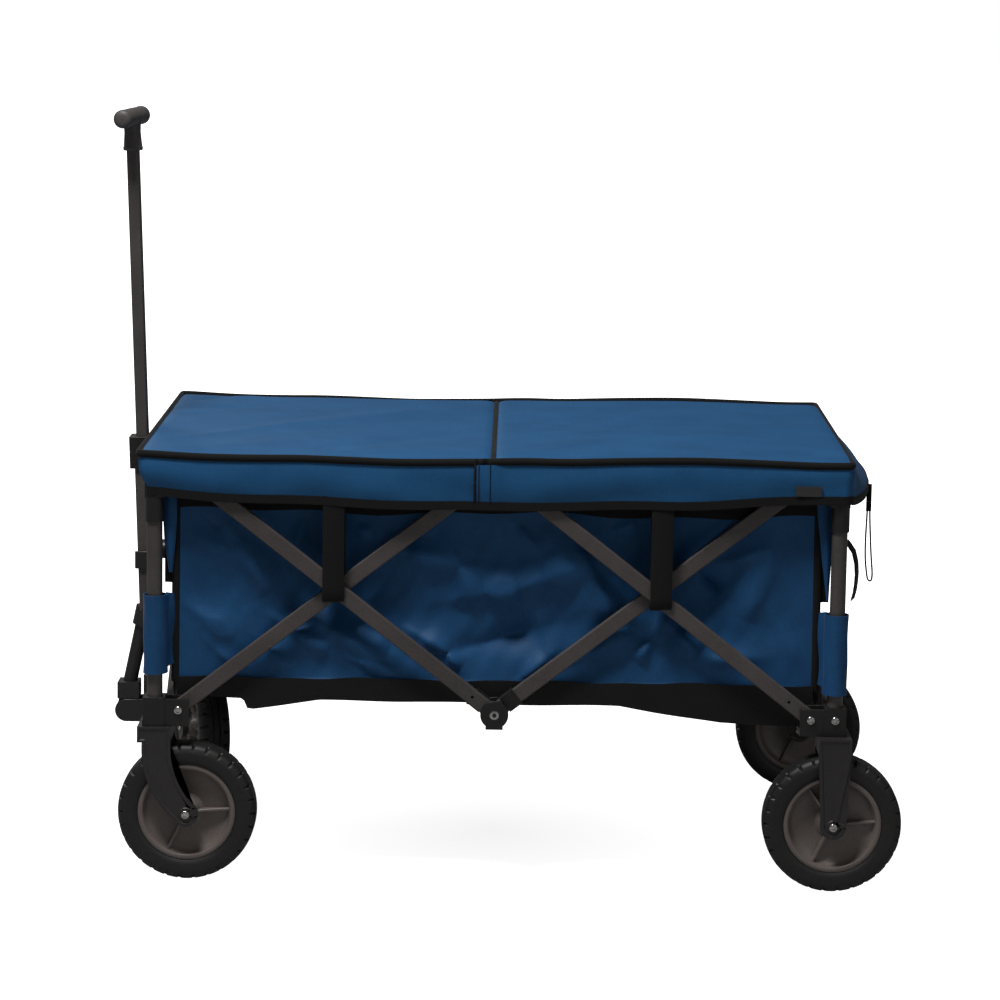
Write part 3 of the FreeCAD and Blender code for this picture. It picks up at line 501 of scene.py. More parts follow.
def screw_profile(half):
    """A screw with a head at each end, of a given half length."""
    return mirrored([(-half + along, radius) for along, radius in HEAD])


def screws(node):
    """A screw for every loose part of a bolt node. Its axis is the spread that differs from the other two."""
    source = frame["nodes"][node]
    turned_parts = []
    for part in loose_parts(source.data):
        low, high = part.min(0), part.max(0)
        spread, ways = np.linalg.eigh(np.cov((part - part.mean(0)).T))
        way = Vector(ways[:, 2] if spread[2] - spread[1] > spread[1] - spread[0] else ways[:, 0])
        centre = Vector((low + high) / 2)
        reach = (part - np.array(centre)) @ np.array(way)
        profile = screw_profile((reach.max() - reach.min()) / 2 / MM)
        turned_parts.append(turned(scaled(profile), 36, centre, way, hexagon))
    made = piece(node + "_screws", *joined(*turned_parts), FASTENER, "fasteners", body_of(source)[0])
    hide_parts(node)


for name in sorted(frame["nodes"]):
    if name.startswith(("bolts_", "axle_bolt")):
        screws(name)
BOTH = (("near", -1), ("far", 1))
PIVOT_LOW = 0.225    # height of the struts' lower pivots
FOOT_HEAD = [(0.0, 0.02), (0.0, KEY), (1.2, KEY), (1.4, 3.2), (1.25, 4.6), (0.8, 6.2), (0.2, 7.1), (-0.6, 7.3),
             (-0.6, 0.02)]
for side, sign in BOTH:
    low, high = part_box("mid_foot_" + side)
    face = low.y if side == "near" else high.y
    centre = Vector(((low.x + high.x) / 2, face - sign * 0.9 * MM, PIVOT_LOW))
    profile = scaled([(sign * along, radius) for along, radius in FOOT_HEAD])
    points, faces = turned(profile, 40, centre, (0, 1, 0), hexagon)
    piece("foot_screw_" + side, points, faces, FASTENER, "fasteners", "foot_" + side)
print("screws done")

# %% [markdown]
# The struts' lower ends sit in short moulded sockets beside the middle foot. Each socket has a raised lip.

# %% Strut end sockets
SOCKET = [(-11.6, -5.2), (-11.0, -5.8), (11.0, -5.8), (11.6, -5.2), (11.6, 5.2), (11.0, 5.8), (-11.0, 5.8),
          (-11.6, 5.2)]
# (start, end, growth) of the socket and of its lip, in mm from the pivot
SPANS = [(17, 34, 0.0), (34, 36.5, 0.7)]
SPAN, RISE = 404.0, 316.0    # of a strut between its pivots, in mm
STRUT_WAY = np.array([SPAN, 0.0, RISE]) / math.hypot(SPAN, RISE)
for side in ("near", "far"):
    for body, mirror in ((side + "_front_outer", -1), (side + "_rear_inner", 1)):
        pivot, way = np.array((0, middle("strut_" + body, 1), PIVOT_LOW)), STRUT_WAY * (mirror, 1, 1)
        for k, (first, last, grow) in enumerate(SPANS):
            path = [pivot + way * t * MM for t in (first, first + 0.4, last - 0.4, last)]
            section = scaled([(u + math.copysign(grow, u), v + math.copysign(grow, v)) for u, v in SOCKET])
            sweep("socket_%s_%d" % (body, k), path, section, MOULDING, "bracket_plastic", body, up=(0, 1, 0))

# %% [markdown]
# ## Wheels
# A tyre is a turned ring whose radius also depends on the angle: shoulder blocks are cut by short grooves.
# The rim is turned too, with a rolled lip, a dished web and three thin ribs on each face.

# %% Tyres
TYRE_PROFILE = mirrored([
    (-18.5, 63.2), (-20.4, 66), (-21.6, 70), (-21.9, 75), (-22.3, 78), (-21.9, 79.6), (-21.4, 81), (-20.6, 83.6),
    (-18.6, 86.6), (-15.2, 88.3), (-11.5, 88.8), (-10.3, 88.9), (-6.2, 89), (-5.4, 86.6), (-3.4, 86.6), (-2.6, 89)])
BLOCKS = 30


def tread(angle, along, radius):
    """Short grooves between the shoulder blocks."""
    part = (angle * BLOCKS / (2 * math.pi)) % 1.0
    shift = 0.0 if along > 0 else 0.5
    groove = abs(((part + shift) % 1.0) - 0.5) > 0.38
    if 11 * MM < abs(along) < 21.2 * MM and radius > 81.5 * MM and groove:
        return radius - 3 * MM
    return radius


def axle_way(corner):
    """The wheel's axle direction, from its spin joint."""
    joint = next(item for item in frame["joints"] if item["name"] == "wheel_%s_spin" % corner)
    return Vector(joint["axis"]).normalized()


for corner in CORNERS:
    points, faces = turned(scaled(TYRE_PROFILE), 240, centre_of("rim_" + corner), axle_way(corner), tread)
    tyre = piece("tyre_rubber_" + corner, points, faces, RUBBER, "tyre", "wheel_" + corner)
    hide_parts("tyre_" + corner)
print("tyre points", len(points))

# %% [markdown]
# The rim's ribs stand between hub and lip on both faces. They are short tapered boards with a rounded outer
# edge, set a third of a turn apart.

# %% Rims
RIM_PROFILE = mirrored([
    (-22, 4.1), (-22, 11), (-21.2, 13), (-18.5, 14.5), (-8, 16.5), (-4.5, 22), (-6.5, 40), (-8.5, 50), (-11, 53.5),
    (-14.5, 55), (-17.4, 56), (-18.6, 57.2), (-19, 59), (-18.8, 61), (-18, 62.6), (-16.5, 63)])
RIB_TURNS = (4, 124, 244)
RIB = [(14.0, -4.0), (14.0, -17.0), (22, -15.4), (40, -13.8), (54.5, -14.5), (55.5, -11.0), (50, -6.0), (24, -2.0)]


def rib_mesh(hub, axle, out, mirror):
    """One rib as a board of 3.4 mm, from its outline of (radius, along the axle)."""
    across = axle.cross(out)
    points = []
    for offset, inset in ((-1.7, 0.6), (-1.2, 0.0), (1.2, 0.0), (1.7, 0.6)):
        for radius, along in RIB:
            depth = along + (inset if along < -10 else 0)
            points.append(hub + out * radius * MM + axle * depth * MM * mirror + across * offset * MM)
    return points, tube_faces(4, len(RIB))


for corner in CORNERS:
    hub, axle = centre_of("rim_" + corner), axle_way(corner)
    level_way = Vector((0, 0, 1)).cross(axle) * -1
    ways = [Matrix.Rotation(math.radians(-turn), 3, axle) @ level_way for turn in RIB_TURNS]
    points, faces = joined(turned(scaled(RIM_PROFILE), 96, hub, axle),
                           *[rib_mesh(hub, axle, out, mirror) for out in ways for mirror in (1, -1)])
    rim = piece("rim_moulding_" + corner, points, faces, RIM, "rim_plastic", "wheel_" + corner)
    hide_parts("rim_" + corner)
print("rims done, ribs at", RIB_TURNS, "degrees")

# %% [markdown]
# ## Forks
# Each fork leg is a moulding with a sunk panel inside a raised border. The copies keep the CAD outline.

# %% Forks
for corner in CORNERS:
    node = "caster_fork_" + corner[6:] if corner.startswith("front") else "rear_fork_" + corner[5:]
    moulded(node, FORK, 0.0014, panel=axle_way(corner))

# %% [markdown]
# ## Basket
# The basket hangs inside the frame from a black band at its top. Its walls are loose cloth, with soft folds
# that run from the straps and corners. Each fold is a line with a rounded profile added to the flat wall, and
# a little noise breaks them up. Below the walls hangs a black base panel with slack corners.

# %% Sizes of the basket
WALL_X, WALL_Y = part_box("liner")[1][:2]
BLUE_LOW = 0.259
BAND_LOW = 0.481
BAND_HIGH = 0.538
POST_X, POST_Y = middle("post_rear_near", 0), middle("post_rear_far", 1)
print("basket", round(WALL_X * 2, 3), "by", round(WALL_Y * 2, 3))


def folds(across, up, creases):
    """The sum of soft folds. Each is (across, up, across, up, width, height) from end to end."""
    total = np.zeros_like(across)
    for a0, z0, a1, z1, width, height in creases:
        run = np.array([a1 - a0, z1 - z0])
        length = np.hypot(*run)
        run /= length
        along = (across - a0) * run[0] + (up - z0) * run[1]
        off = -(across - a0) * run[1] + (up - z0) * run[0]
        inside = np.clip(along / length, 0, 1)
        beyond = np.abs(along - inside * length)
        spread = width * (0.6 + 0.8 * inside)
        fade = np.sin(np.pi * np.clip(0.12 + 0.8 * inside, 0, 1))
        crest = np.exp(0.3 - np.sqrt((off / spread) ** 2 * 2.2 + 0.09))
        total += height * fade * crest * np.exp(-(beyond / (2 * width)) ** 2)
    return total


def ripple(across, up, seed, size=0.09):
    """Gentle unevenness from a few crossing sine waves, the same on every run."""
    total = np.zeros_like(across)
    for k in range(5):
        heading = 1.7 * seed + 2.4 * k
        pitch = size * (1 + 0.55 * k)
        total += np.sin((across * math.cos(heading) + up * math.sin(heading)) * 2 * math.pi / pitch + k * seed)
    return total / 5


# %% [markdown]
# The long walls carry most of the folds. Under each pair of crossing struts the cloth is pulled towards the
# strap, and between them it bellies out. The far wall repeats the near one, turned about.

# %% Long walls
SIDE_CREASES = [
    (-0.405, 0.362, -0.335, 0.312, 0.020, 0.010), (-0.392, 0.452, -0.340, 0.422, 0.018, 0.008),
    (-0.335, 0.445, -0.290, 0.372, 0.020, 0.008), (-0.372, 0.470, -0.352, 0.452, 0.010, -0.006),
    (-0.400, 0.410, -0.372, 0.330, 0.024, -0.006), (-0.360, 0.300, -0.330, 0.272, 0.010, 0.005),
    (-0.262, 0.326, -0.214, 0.296, 0.016, 0.009), (-0.290, 0.300, -0.262, 0.272, 0.010, 0.005),
    (-0.214, 0.328, -0.142, 0.288, 0.018, 0.010), (-0.175, 0.285, -0.120, 0.268, 0.009, 0.006),
    (-0.245, 0.470, -0.262, 0.420, 0.014, 0.006), (-0.178, 0.462, -0.158, 0.448, 0.011, 0.006),
    (-0.112, 0.430, -0.048, 0.412, 0.022, 0.008), (-0.048, 0.412, -0.026, 0.368, 0.020, 0.007),
    (-0.062, 0.297, -0.046, 0.278, 0.009, 0.006), (-0.096, 0.318, -0.060, 0.300, 0.013, 0.005),
    (-0.012, 0.376, 0.030, 0.384, 0.030, 0.007), (0.060, 0.398, 0.122, 0.424, 0.028, 0.008),
    (0.026, 0.464, 0.056, 0.430, 0.009, 0.005), (0.034, 0.266, 0.066, 0.294, 0.008, 0.008),
    (-0.006, 0.312, 0.060, 0.330, 0.024, -0.007), (0.122, 0.400, 0.150, 0.345, 0.020, 0.006),
    (0.150, 0.462, 0.178, 0.470, 0.010, 0.006), (0.120, 0.300, 0.176, 0.330, 0.018, 0.007),
    (0.229, 0.412, 0.296, 0.476, 0.013, 0.012), (0.298, 0.423, 0.360, 0.442, 0.016, 0.009),
    (0.350, 0.432, 0.322, 0.346, 0.024, 0.007), (0.262, 0.402, 0.290, 0.380, 0.013, -0.008),
    (0.232, 0.330, 0.262, 0.302, 0.016, 0.008), (0.200, 0.318, 0.180, 0.290, 0.012, 0.006),
    (0.280, 0.292, 0.350, 0.300, 0.016, 0.006), (0.368, 0.330, 0.396, 0.280, 0.014, 0.006),
    (0.372, 0.470, 0.392, 0.440, 0.011, -0.006)]
# (across, up, width, height) of the hollows behind the straps
DRAWN_IN = [(-0.207, 0.392, 0.080, 0.070), (0.209, 0.392, 0.080, 0.070)]


def belly(across, half, up, low, high):
    """Zero at the edges of a wall and one in its middle."""
    return np.clip(1 - (across / half) ** 4, 0, 1) * np.sin(np.pi * np.clip((up - low) / (high - low), 0, 1)) ** 0.5


def wall(half, place, creases, seed, columns, hollows=()):
    """A cloth wall. place(across, up, out) gives a point, with out measured outward from the CAD face."""
    low, high = BLUE_LOW, BAND_LOW + 0.006
    up, across = np.meshgrid(np.linspace(low, high, 84), np.linspace(-half, half, columns), indexing="ij")
    hold = belly(across, half, up, low, high)
    out = hold * (2.7 * folds(across, up, creases) + 0.006 * ripple(across, up, seed) - 0.010)
    out = out + hold * 0.0026 * ripple(across * 1.3, up, seed + 2, 0.032)
    for a, z, wide, tall in hollows:
        out = out - 0.012 * np.exp(-((across - a) / wide) ** 2 - ((up - z) / tall) ** 2)
    out = np.where(out > 0.003, 0.003 + 0.35 * (out - 0.003), out)
    return place(across, up, out)


def near_side(across, up, out):
    return np.stack([across, -WALL_Y - out, up], axis=2)


def far_side(across, up, out):
    return np.stack([-across, WALL_Y + out, up], axis=2)


def front_side(across, up, out):
    return np.stack([-WALL_X - out, -across, up], axis=2)


def rear_side(across, up, out):
    return np.stack([WALL_X + out, across, up], axis=2)


ROOT = "corner_front_near"
FOLD_X = dict(axis=(1, 0, 0), anchor=(-POST_X, 0, 0), keep=0.3)
FOLD_NEAR = dict(axis=(0, 1, 0), anchor=(0, -POST_Y, 0), keep=0.4)
CLOTH = 0.0016
for side, place, body, seed in (("near", near_side, ROOT, 1.3), ("far", far_side, "corner_front_far", 2.1)):
    grid = wall(WALL_X - 0.002, place, SIDE_CREASES, seed, 260, DRAWN_IN)
    cloth = slab("wall_" + side, grid, CLOTH, BLUE, "basket_fabric", body)
    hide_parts("liner")
    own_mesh(cloth)

# %% [markdown]
# The two ends are the same kind of wall, half as wide.

# %% End walls
END_CREASES = [
    (-0.220, 0.470, -0.120, 0.300, 0.022, -0.009), (0.210, 0.470, 0.110, 0.300, 0.022, 0.007),
    (-0.080, 0.290, 0.060, 0.330, 0.020, -0.008), (-0.030, 0.470, 0.030, 0.330, 0.024, 0.007),
    (-0.200, 0.275, 0.180, 0.272, 0.012, 0.006)]
for side, place, body, seed in (("front", front_side, ROOT, 3.2), ("rear", rear_side, "corner_rear_near", 4.4)):
    grid = wall(WALL_Y - 0.002, place, END_CREASES, seed, 130)
    cloth = slab("wall_" + side, grid, CLOTH, BLUE, "basket_fabric", body)
    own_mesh(cloth)

# %% [markdown]
# The top band and the base are black. The band is a double layer of stiff tape, slightly proud of the cloth.
# The base is a slack skirt that drops lower near the straps.

# %% Bands, base and corner bindings


def base_low(across):
    """The base's lower edge: nearly level, with two slack drops."""
    knots = (-0.420, -0.3225, -0.3200, -0.3100, -0.2250, -0.10, 0.03, 0.160, 0.290, 0.330, 0.420)
    heights = (0.2370, 0.2360, 0.2235, 0.2225, 0.2345, 0.2350, 0.2330, 0.2330, 0.2130, 0.2110, 0.2120)
    return np.interp(across, knots, heights) - 0.0008 * np.sin(across * 37)


def strip(half, place, low, high, lift, sway, seed, columns):
    """A strip of cloth between two heights, each a formula of the place across."""
    across = np.linspace(-half, half, columns)
    share = np.linspace(0, 1, 14)[:, None]
    up = low(across)[None, :] * (1 - share) + high(across)[None, :] * share
    spread = np.repeat(across[None, :], 14, axis=0)
    out = lift + sway * ripple(spread, up * 1.5, seed, 0.12)
    return place(spread, up, out)


def base_high(across):
    """The uneven line where the base meets the blue cloth."""
    return BLUE_LOW + 0.0045 + 0.0011 * np.sin(across * 31) + 0.0007 * np.sin(across * 73 + 2)


def band_low(across):
    """The band's lower edge, which the cloth pulls about a little."""
    return BAND_LOW + 0.0025 * np.sin(across * 17 + 1) - 0.002 * np.cos(across * 41)


def band_high(across):
    """The band's level upper edge."""
    return np.full(len(across), BAND_HIGH)


SIDES = [("near", near_side, WALL_X, ROOT, FOLD_X), ("far", far_side, WALL_X, "corner_front_far", FOLD_X),
         ("front", front_side, WALL_Y, ROOT, FOLD_NEAR), ("rear", rear_side, WALL_Y, "corner_rear_near", FOLD_NEAR)]
for side, place, half, body, way in SIDES:
    grid = strip(half, place, band_low, band_high, 0.0016, 0.0006, 5.0, 120)
    band = slab("band_" + side, grid, 0.0022, WEBBING, "basket_fabric", body)
    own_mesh(band)
    grid = strip(half, place, base_low, base_high, 0.0026, 0.0010, 6.0, 200)
    base = slab("base_" + side, grid, 0.002, BASE_BLACK, "basket_fabric", body)
    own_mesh(base)

# %% [markdown]
# Inside, the floor is a row of padded boards in black cloth, which stack when the cart is folded, so each one
# rides on a different pair of corners and lies a little above the next.

# %% Floor boards


def padded_board(name, x_low, x_high, half_y, z_low, z_high, body):
    """A flat board with rounded edges and a faintly quilted top."""
    work = bmesh.new()
    bmesh.ops.create_grid(work, x_segments=24, y_segments=32, size=0.5)
    for vertex in work.verts:
        vertex.co.x = x_low + (vertex.co.x + 0.5) * (x_high - x_low)
        vertex.co.y *= 2 * half_y
        vertex.co.z = z_high - 0.0006 * (1 - math.cos(vertex.co.x * 90)) * 0.5
    solid = bmesh.ops.extrude_face_region(work, geom=work.faces[:])
    for item in solid["geom"]:
        if isinstance(item, bmesh.types.BMVert):
            item.co.z = z_low
    points = [vertex.co.copy() for vertex in work.verts]
    work.verts.index_update()
    faces = [[vertex.index for vertex in face.verts] for face in work.faces]
    work.free()
    board = piece(name, points, faces, BASE_BLACK, "basket_fabric", body)
    edge = board.modifiers.new("edge", "BEVEL")
    edge.width = 0.001
    edge.limit_method = "ANGLE"
    return board


FLOOR_X = WALL_X - 0.006
BOARD = 0.0035
boards = [("front", ROOT, 0.2395), ("middle", "foot_near", 0.2355), ("rear", "corner_rear_near", 0.2315)]
for k, (part, body, low) in enumerate(boards):
    start = -FLOOR_X + k * 2 * FLOOR_X / 3
    stop = start + 2 * FLOOR_X / 3
    board = padded_board("floor_" + part, start + 0.001, stop - 0.001, WALL_Y - 0.007, low, low + BOARD, body)
    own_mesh(board)

# %% [markdown]
# ## Lid
# The lid is two stiff boards in blue cloth with a skirt that hangs over the frame. Black piping runs along
# the top edge and a black hem along the skirt's edge. The rear skirt is slack and bows out at the hem.

# %% Lid outline
FRONT_LOW, FRONT_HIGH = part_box("lid_front")
LID_TOP = FRONT_HIGH.z
LID_Y = FRONT_HIGH.y
SEAM = (FRONT_HIGH.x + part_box("lid_rear")[0].x) / 2
LID_REAR = POST_X + 0.016
CORNER = 0.009


def outline(end_x, seam_x):
    """Points along three sides of a lid half, from the seam's near end round to its far end, with round corners."""
    step = 0.006
    away = 1 if end_x > seam_x else -1
    run = abs(end_x - seam_x) - CORNER
    number = int(run / step)
    side = [(seam_x + away * run * k / number, -LID_Y) for k in range(number)]
    corner = [(seam_x + away * (run + CORNER * math.sin(t)), -LID_Y + CORNER * (1 - math.cos(t)))
              for t in np.linspace(0, math.pi / 2, 7)]
    width = 2 * LID_Y - 2 * CORNER
    number = int(width / step)
    across = [(end_x, -LID_Y + CORNER + width * k / number) for k in range(1, number)]
    return np.array(side + corner + across + [(px, -py) for px, py in reversed(side + corner)])


PIPING_X = (-0.455, -0.376, -0.310, -0.250, -0.124, 0.002, 0.030, 0.078, 0.179, 0.254, 0.330, 0.406, 0.451)
PIPING_Z = (0.5570, 0.5530, 0.5525, 0.5535, 0.5500, 0.5525, 0.5545, 0.5530, 0.5565, 0.5580, 0.5560, 0.5535, 0.5545)
HEM_X_AT = (-0.455, -0.376, -0.313, -0.212, -0.123, -0.035, 0.079, 0.193, 0.256, 0.331, 0.382, 0.451)
HEM_Z_AT = (0.513, 0.508, 0.506, 0.503, 0.501, 0.500, 0.502, 0.504, 0.506, 0.511, 0.513, 0.516)


def smooth_line(x, knots_x, knots_z):
    """A height along the cart, smoothed between measured heights."""
    total = 0.0
    for shift in (-0.024, -0.012, 0.0, 0.012, 0.024):
        total = total + np.interp(np.asarray(x) + shift, knots_x, knots_z)
    return total / 5


def edge_sag(x, y):
    """How far the lid's cloth sags towards its side edges, which follow the piping."""
    beside = np.clip(1 - (LID_Y - np.abs(y)) / 0.05, 0, 1) ** 1.5
    return beside * (smooth_line(x, PIPING_X, PIPING_Z) - (LID_TOP - 0.0015))


# %% [markdown]
# The top panel is a closed slab: its upper face has the folds and its lower face is the flat board. It is a
# grid whose outer corners are drawn in to an arc, so that its rim follows the rounded outline.


# %% Lid tops
def top_height(x, y, creases):
    """Height of the lid's cloth above its board edge."""
    return folds(x, y, creases) + 0.0009 * ripple(x, y, 2.7, 0.16)


def lid_panel(name, end_x, seam_x, creases, body):
    """The closed slab of a lid half. Its grid is drawn in to a round corner at the outer end."""
    away = 1 if end_x > seam_x else -1
    columns, rows = 76, 90
    low_x, high_x = sorted((end_x - away * 0.003, seam_x))
    x, y = np.meshgrid(np.linspace(low_x, high_x, columns), np.linspace(-LID_Y + 0.003, LID_Y - 0.003, rows),
                       indexing="ij")
    centre_x = end_x - away * (CORNER + 0.001)
    centre_y = LID_Y - CORNER - 0.001
    over_x = np.clip((x - centre_x) * away, 0, None)
    over_y = np.clip(np.abs(y) - centre_y, 0, None)
    reach = np.hypot(over_x, over_y)
    largest = np.maximum(over_x, over_y)
    shrink = np.where(reach > 0, largest / np.maximum(reach, 1e-9), 1)
    x = np.where(over_x > 0, centre_x + away * over_x * shrink, x)
    y = np.where(over_y > 0, np.sign(y) * (centre_y + over_y * shrink), y)
    to_edge = np.minimum(np.minimum((end_x - x) * away, (x - seam_x) * away), LID_Y - np.abs(y))
    rise = np.clip(to_edge / 0.018, 0, 1)
    rounded = np.sqrt(np.clip(1 - (1 - rise) ** 2, 0, 1))
    z = LID_TOP - 0.0052 + 0.0046 * rounded + rise * top_height(x, y, creases)
    z = z + edge_sag(x, y)
    top = np.stack([x, y, np.minimum(z, LID_TOP + 0.004)], axis=2)
    if away > 0:
        top = top[::-1]
    low = top.copy()
    low[:, :, 2] = np.minimum(LID_TOP - 0.0055, top[:, :, 2] - 0.002)
    panel = piece(name, *closed_grid(top, low), LID_BLUE_PAINTED_LIGHTER, "lid_fabric", body)
    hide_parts("lid_front" if away < 0 else "lid_rear")


FRONT_CREASES = [
    (-0.430, 0.120, -0.300, 0.160, 0.020, -0.0035), (-0.300, -0.060, -0.040, 0.150, 0.050, 0.0035),
    (-0.200, -0.200, -0.020, -0.060, 0.050, -0.0030), (-0.440, 0.060, -0.360, 0.080, 0.016, -0.0020),
    (-0.380, -0.230, -0.200, -0.130, 0.040, 0.0025), (-0.400, -0.140, -0.110, 0.110, 0.030, 0.0034),
    (-0.425, 0.190, -0.385, 0.245, 0.010, -0.0030), (-0.400, 0.215, -0.330, 0.235, 0.012, 0.0022)]
REAR_CREASES = [
    (0.030, -0.230, 0.130, -0.120, 0.040, 0.0025), (0.250, -0.100, 0.430, 0.060, 0.060, 0.0025),
    (0.300, -0.230, 0.430, -0.200, 0.030, -0.0020)]
LID_FRONT_X = FRONT_LOW.x
lid_panel("lid_panel_front", LID_FRONT_X, SEAM - 0.0007, FRONT_CREASES, "lid_front_half")
lid_panel("lid_panel_rear", LID_REAR, SEAM + 0.0007, REAR_CREASES, "lid_rear_half")

# %% [markdown]
# The skirt runs round three sides of each half. Each point of its top edge is joined to a point of its hem,
# which lies a little in at the front corners and bows out at the rear. Shallow folds run along it.


# %% Skirts, piping and hems
def hem_of(top, bow, draw_in, end_x):
    """The hem's points under the top edge's points, in plan."""
    hem = top.copy()
    y = np.clip(np.abs(top[:, 1]) / LID_Y, 0, 1)
    nearness = np.clip(1 - np.abs(top[:, 0] - end_x) / 0.1, 0, 1) ** 2
    away = 1 if end_x > 0 else -1
    hem[:, 0] += away * nearness * (bow * (1 - y ** 2.2) - draw_in)
    return hem


def skirt(half, end_x, seam_x, bow, draw_in, body, seed, extend):
    """The hanging cloth round three sides of a half, with its piping and hem tape."""
    away = 1 if end_x > seam_x else -1
    top = outline(end_x, seam_x)
    if extend:
        extra = np.array([[seam_x - extend * k / 5, -LID_Y] for k in range(5, 0, -1)])
        top = np.concatenate([extra, top, extra[::-1] * (1, -1)])
    hem = hem_of(top, bow, draw_in, end_x)
    travel = np.concatenate([[0], np.cumsum(np.hypot(*np.diff(top, axis=0).T))])
    tangent = np.gradient(top, axis=0)
    outward = np.stack([tangent[:, 1], -tangent[:, 0]], axis=1) * away
    outward /= np.linalg.norm(outward, axis=1, keepdims=True)
    high = smooth_line(top[:, 0], PIPING_X, PIPING_Z)
    low = smooth_line(top[:, 0], HEM_X_AT, HEM_Z_AT) + 0.0010 * np.sin(31 * travel + seed)
    sag = np.clip(1 - np.abs(top[:, 1]) / (LID_Y * 0.98), 0, 1)
    low = low - 0.011 * np.sqrt(sag) * (1 if away > 0 else 0.5)
    lap = 0.0024 * np.clip((0.014 - (top[:, 0] - seam_x) * away) / 0.014, 0, 1) if extend else 0.0
    rows = 20
    grid = np.zeros((rows, len(top), 3))
    for row in range(rows):
        share = row / (rows - 1)
        plan = top * (1 - share) + hem * share
        swell = 0.0026 * math.sin(math.pi * share) + 0.0008 * np.sin(26 * travel + 5 * share + seed) * share
        swell = swell + 0.0007 * np.sin(9 * travel + 6 * share + 2 * seed) * share
        swell = swell + 0.0004 * np.sin(64 * travel - 4 * share + seed) * share
        swell = swell + lap
        grid[row, :, :2] = plan + outward * (swell - 0.0012)[:, None]
        grid[row, :, 2] = high * (1 - share) + low * share
    path = grid if away > 0 else grid[:, ::-1]
    cloth = slab("skirt_" + half, path, 0.0013, LID_BLUE_PAINTED_LIGHTER, "lid_fabric", body)
    rim = np.column_stack([top - outward * 0.001, high])
    sweep("piping_" + half, rim, oval(0.0070, 0.0098), WEBBING, "lid_fabric", body)
    band = np.zeros((4, len(top), 3))
    for row, drop in enumerate((-0.0008, 0.003, 0.0065, 0.0102)):
        band[row] = path[-1]
        band[row, :, 2] -= drop
    facing = outward if away > 0 else outward[::-1]
    band[:, :, :2] += facing[None] * 0.0008
    tape = slab("hem_" + half, band, 0.0026, WEBBING, "lid_fabric", body)
    return path


front_skirt = skirt("front", LID_FRONT_X + 0.001, SEAM - 0.0012, 0.0, 0.008, "lid_front_half", 0.6, 0.0)
rear_skirt = skirt("rear", LID_REAR - 0.001, SEAM + 0.0012, 0.046, 0.003, "lid_rear_half", 1.9, 0.024)
print("lid top", round(LID_TOP, 3), "hem", round(FRONT_LOW.z, 3))

# %% [markdown]
# Where the halves meet, the rear skirt laps over the front one. The lap's edge is bound with tape and held by
# two rows of stitches, so thin tapes follow three columns of the skirt's own grid.

# %% Edge binding and stitch rows of the lap
for side, pick in (("near", 0), ("far", -1)):
    for label, shift, width in (("binding", 0, 0.0030), ("stitches_a", 1, 0.0009), ("stitches_b", 4, 0.0009)):
        where = pick + shift if pick == 0 else pick - shift
        line = rear_skirt[:, where].copy()
        line[:, 1] += (-1 if side == "near" else 1) * 0.0009
        sweep("lap_" + label + "_" + side, line, oval(width, 0.0014), WEBBING, "lid_fabric", "lid_rear_half")

# %% [markdown]
# The boards are hinged by a tape over the seam between them, which sags at its ends as the cloth does.

# %% Seam between the halves
seam_path = [(SEAM, y, LID_TOP - 0.0030 + float(edge_sag(SEAM, y)))
             for y in np.linspace(-LID_Y + 0.002, LID_Y - 0.002, 60)]
sweep("seam_tape", seam_path, oval(0.0062, 0.0042), WEBBING, "lid_fabric", "lid_front_half")

# %% [markdown]
# ## Straps, sleeves and tabs
# Webbing straps hang from the top band and wrap each crossing of the side struts. At every corner a blue
# sleeve is sewn round the post and joined to the basket by a flap of the same cloth.


# %% Straps round the crossings
TAPE = [(-0.5, -0.5), (-0.47, -0.5), (0.47, -0.5), (0.5, -0.5), (0.5, 0.5), (0.47, 0.5), (-0.47, 0.5), (-0.5, 0.5)]


def flat_tape(name, path, width, thickness, across, body):
    """A flat tape along a path in a plane, with its width along one axis and its edges half as thick."""
    path = np.array(path, float)
    ahead_of = np.gradient(path, axis=0)
    ahead_of /= np.linalg.norm(ahead_of, axis=1, keepdims=True)
    face = np.cross(ahead_of, across)
    face /= np.linalg.norm(face, axis=1, keepdims=True)
    rings = [spot + np.array(across) * u * width + face[k] * v * thickness * (1 if abs(u) < 0.49 else 0.5)
             for k, spot in enumerate(path) for u, v in TAPE]
    return piece(name, rings, tube_faces(len(path), len(TAPE)), WEBBING, "basket_fabric", body)


STRAPS = {"front": (-0.207, 0.366), "rear": (0.2095, 0.362)}
STRAP_OUT = 0.2655
STRAP_IN = 0.2385
STRAP_MIDDLE = (STRAP_OUT + STRAP_IN) / 2
STRAP_REACH = (STRAP_OUT - STRAP_IN) / 2
for side, sign in BOTH:
    for end, (x, low) in STRAPS.items():
        turn_z = low + 0.010
        path = [(x, sign * STRAP_IN, z) for z in np.linspace(BAND_LOW + 0.02, turn_z + 0.008, 10)]
        path += [(x, sign * (STRAP_MIDDLE - STRAP_REACH * math.cos(t)), turn_z - 0.009 * math.sin(t))
                 for t in np.linspace(0.2, math.pi - 0.2, 9)]
        path += [(x, sign * STRAP_OUT, z) for z in np.linspace(turn_z + 0.008, BAND_LOW + 0.03, 12)]
        strap = flat_tape("strap_%s_%s" % (side, end), path, 0.0275, 0.0018, (1, 0, 0), "corner_front_" + side)
        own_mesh(strap)

# %% [markdown]
# A sleeve is a tube a little wider than its post, pinched where its flap is sewn, with a stitched hem at each
# end. The flap is a small sheet that narrows towards the basket.

# %% Sleeves and flaps
SLEEVES = {"front": (0.271, 0.373), "rear": (0.257, 0.361)}


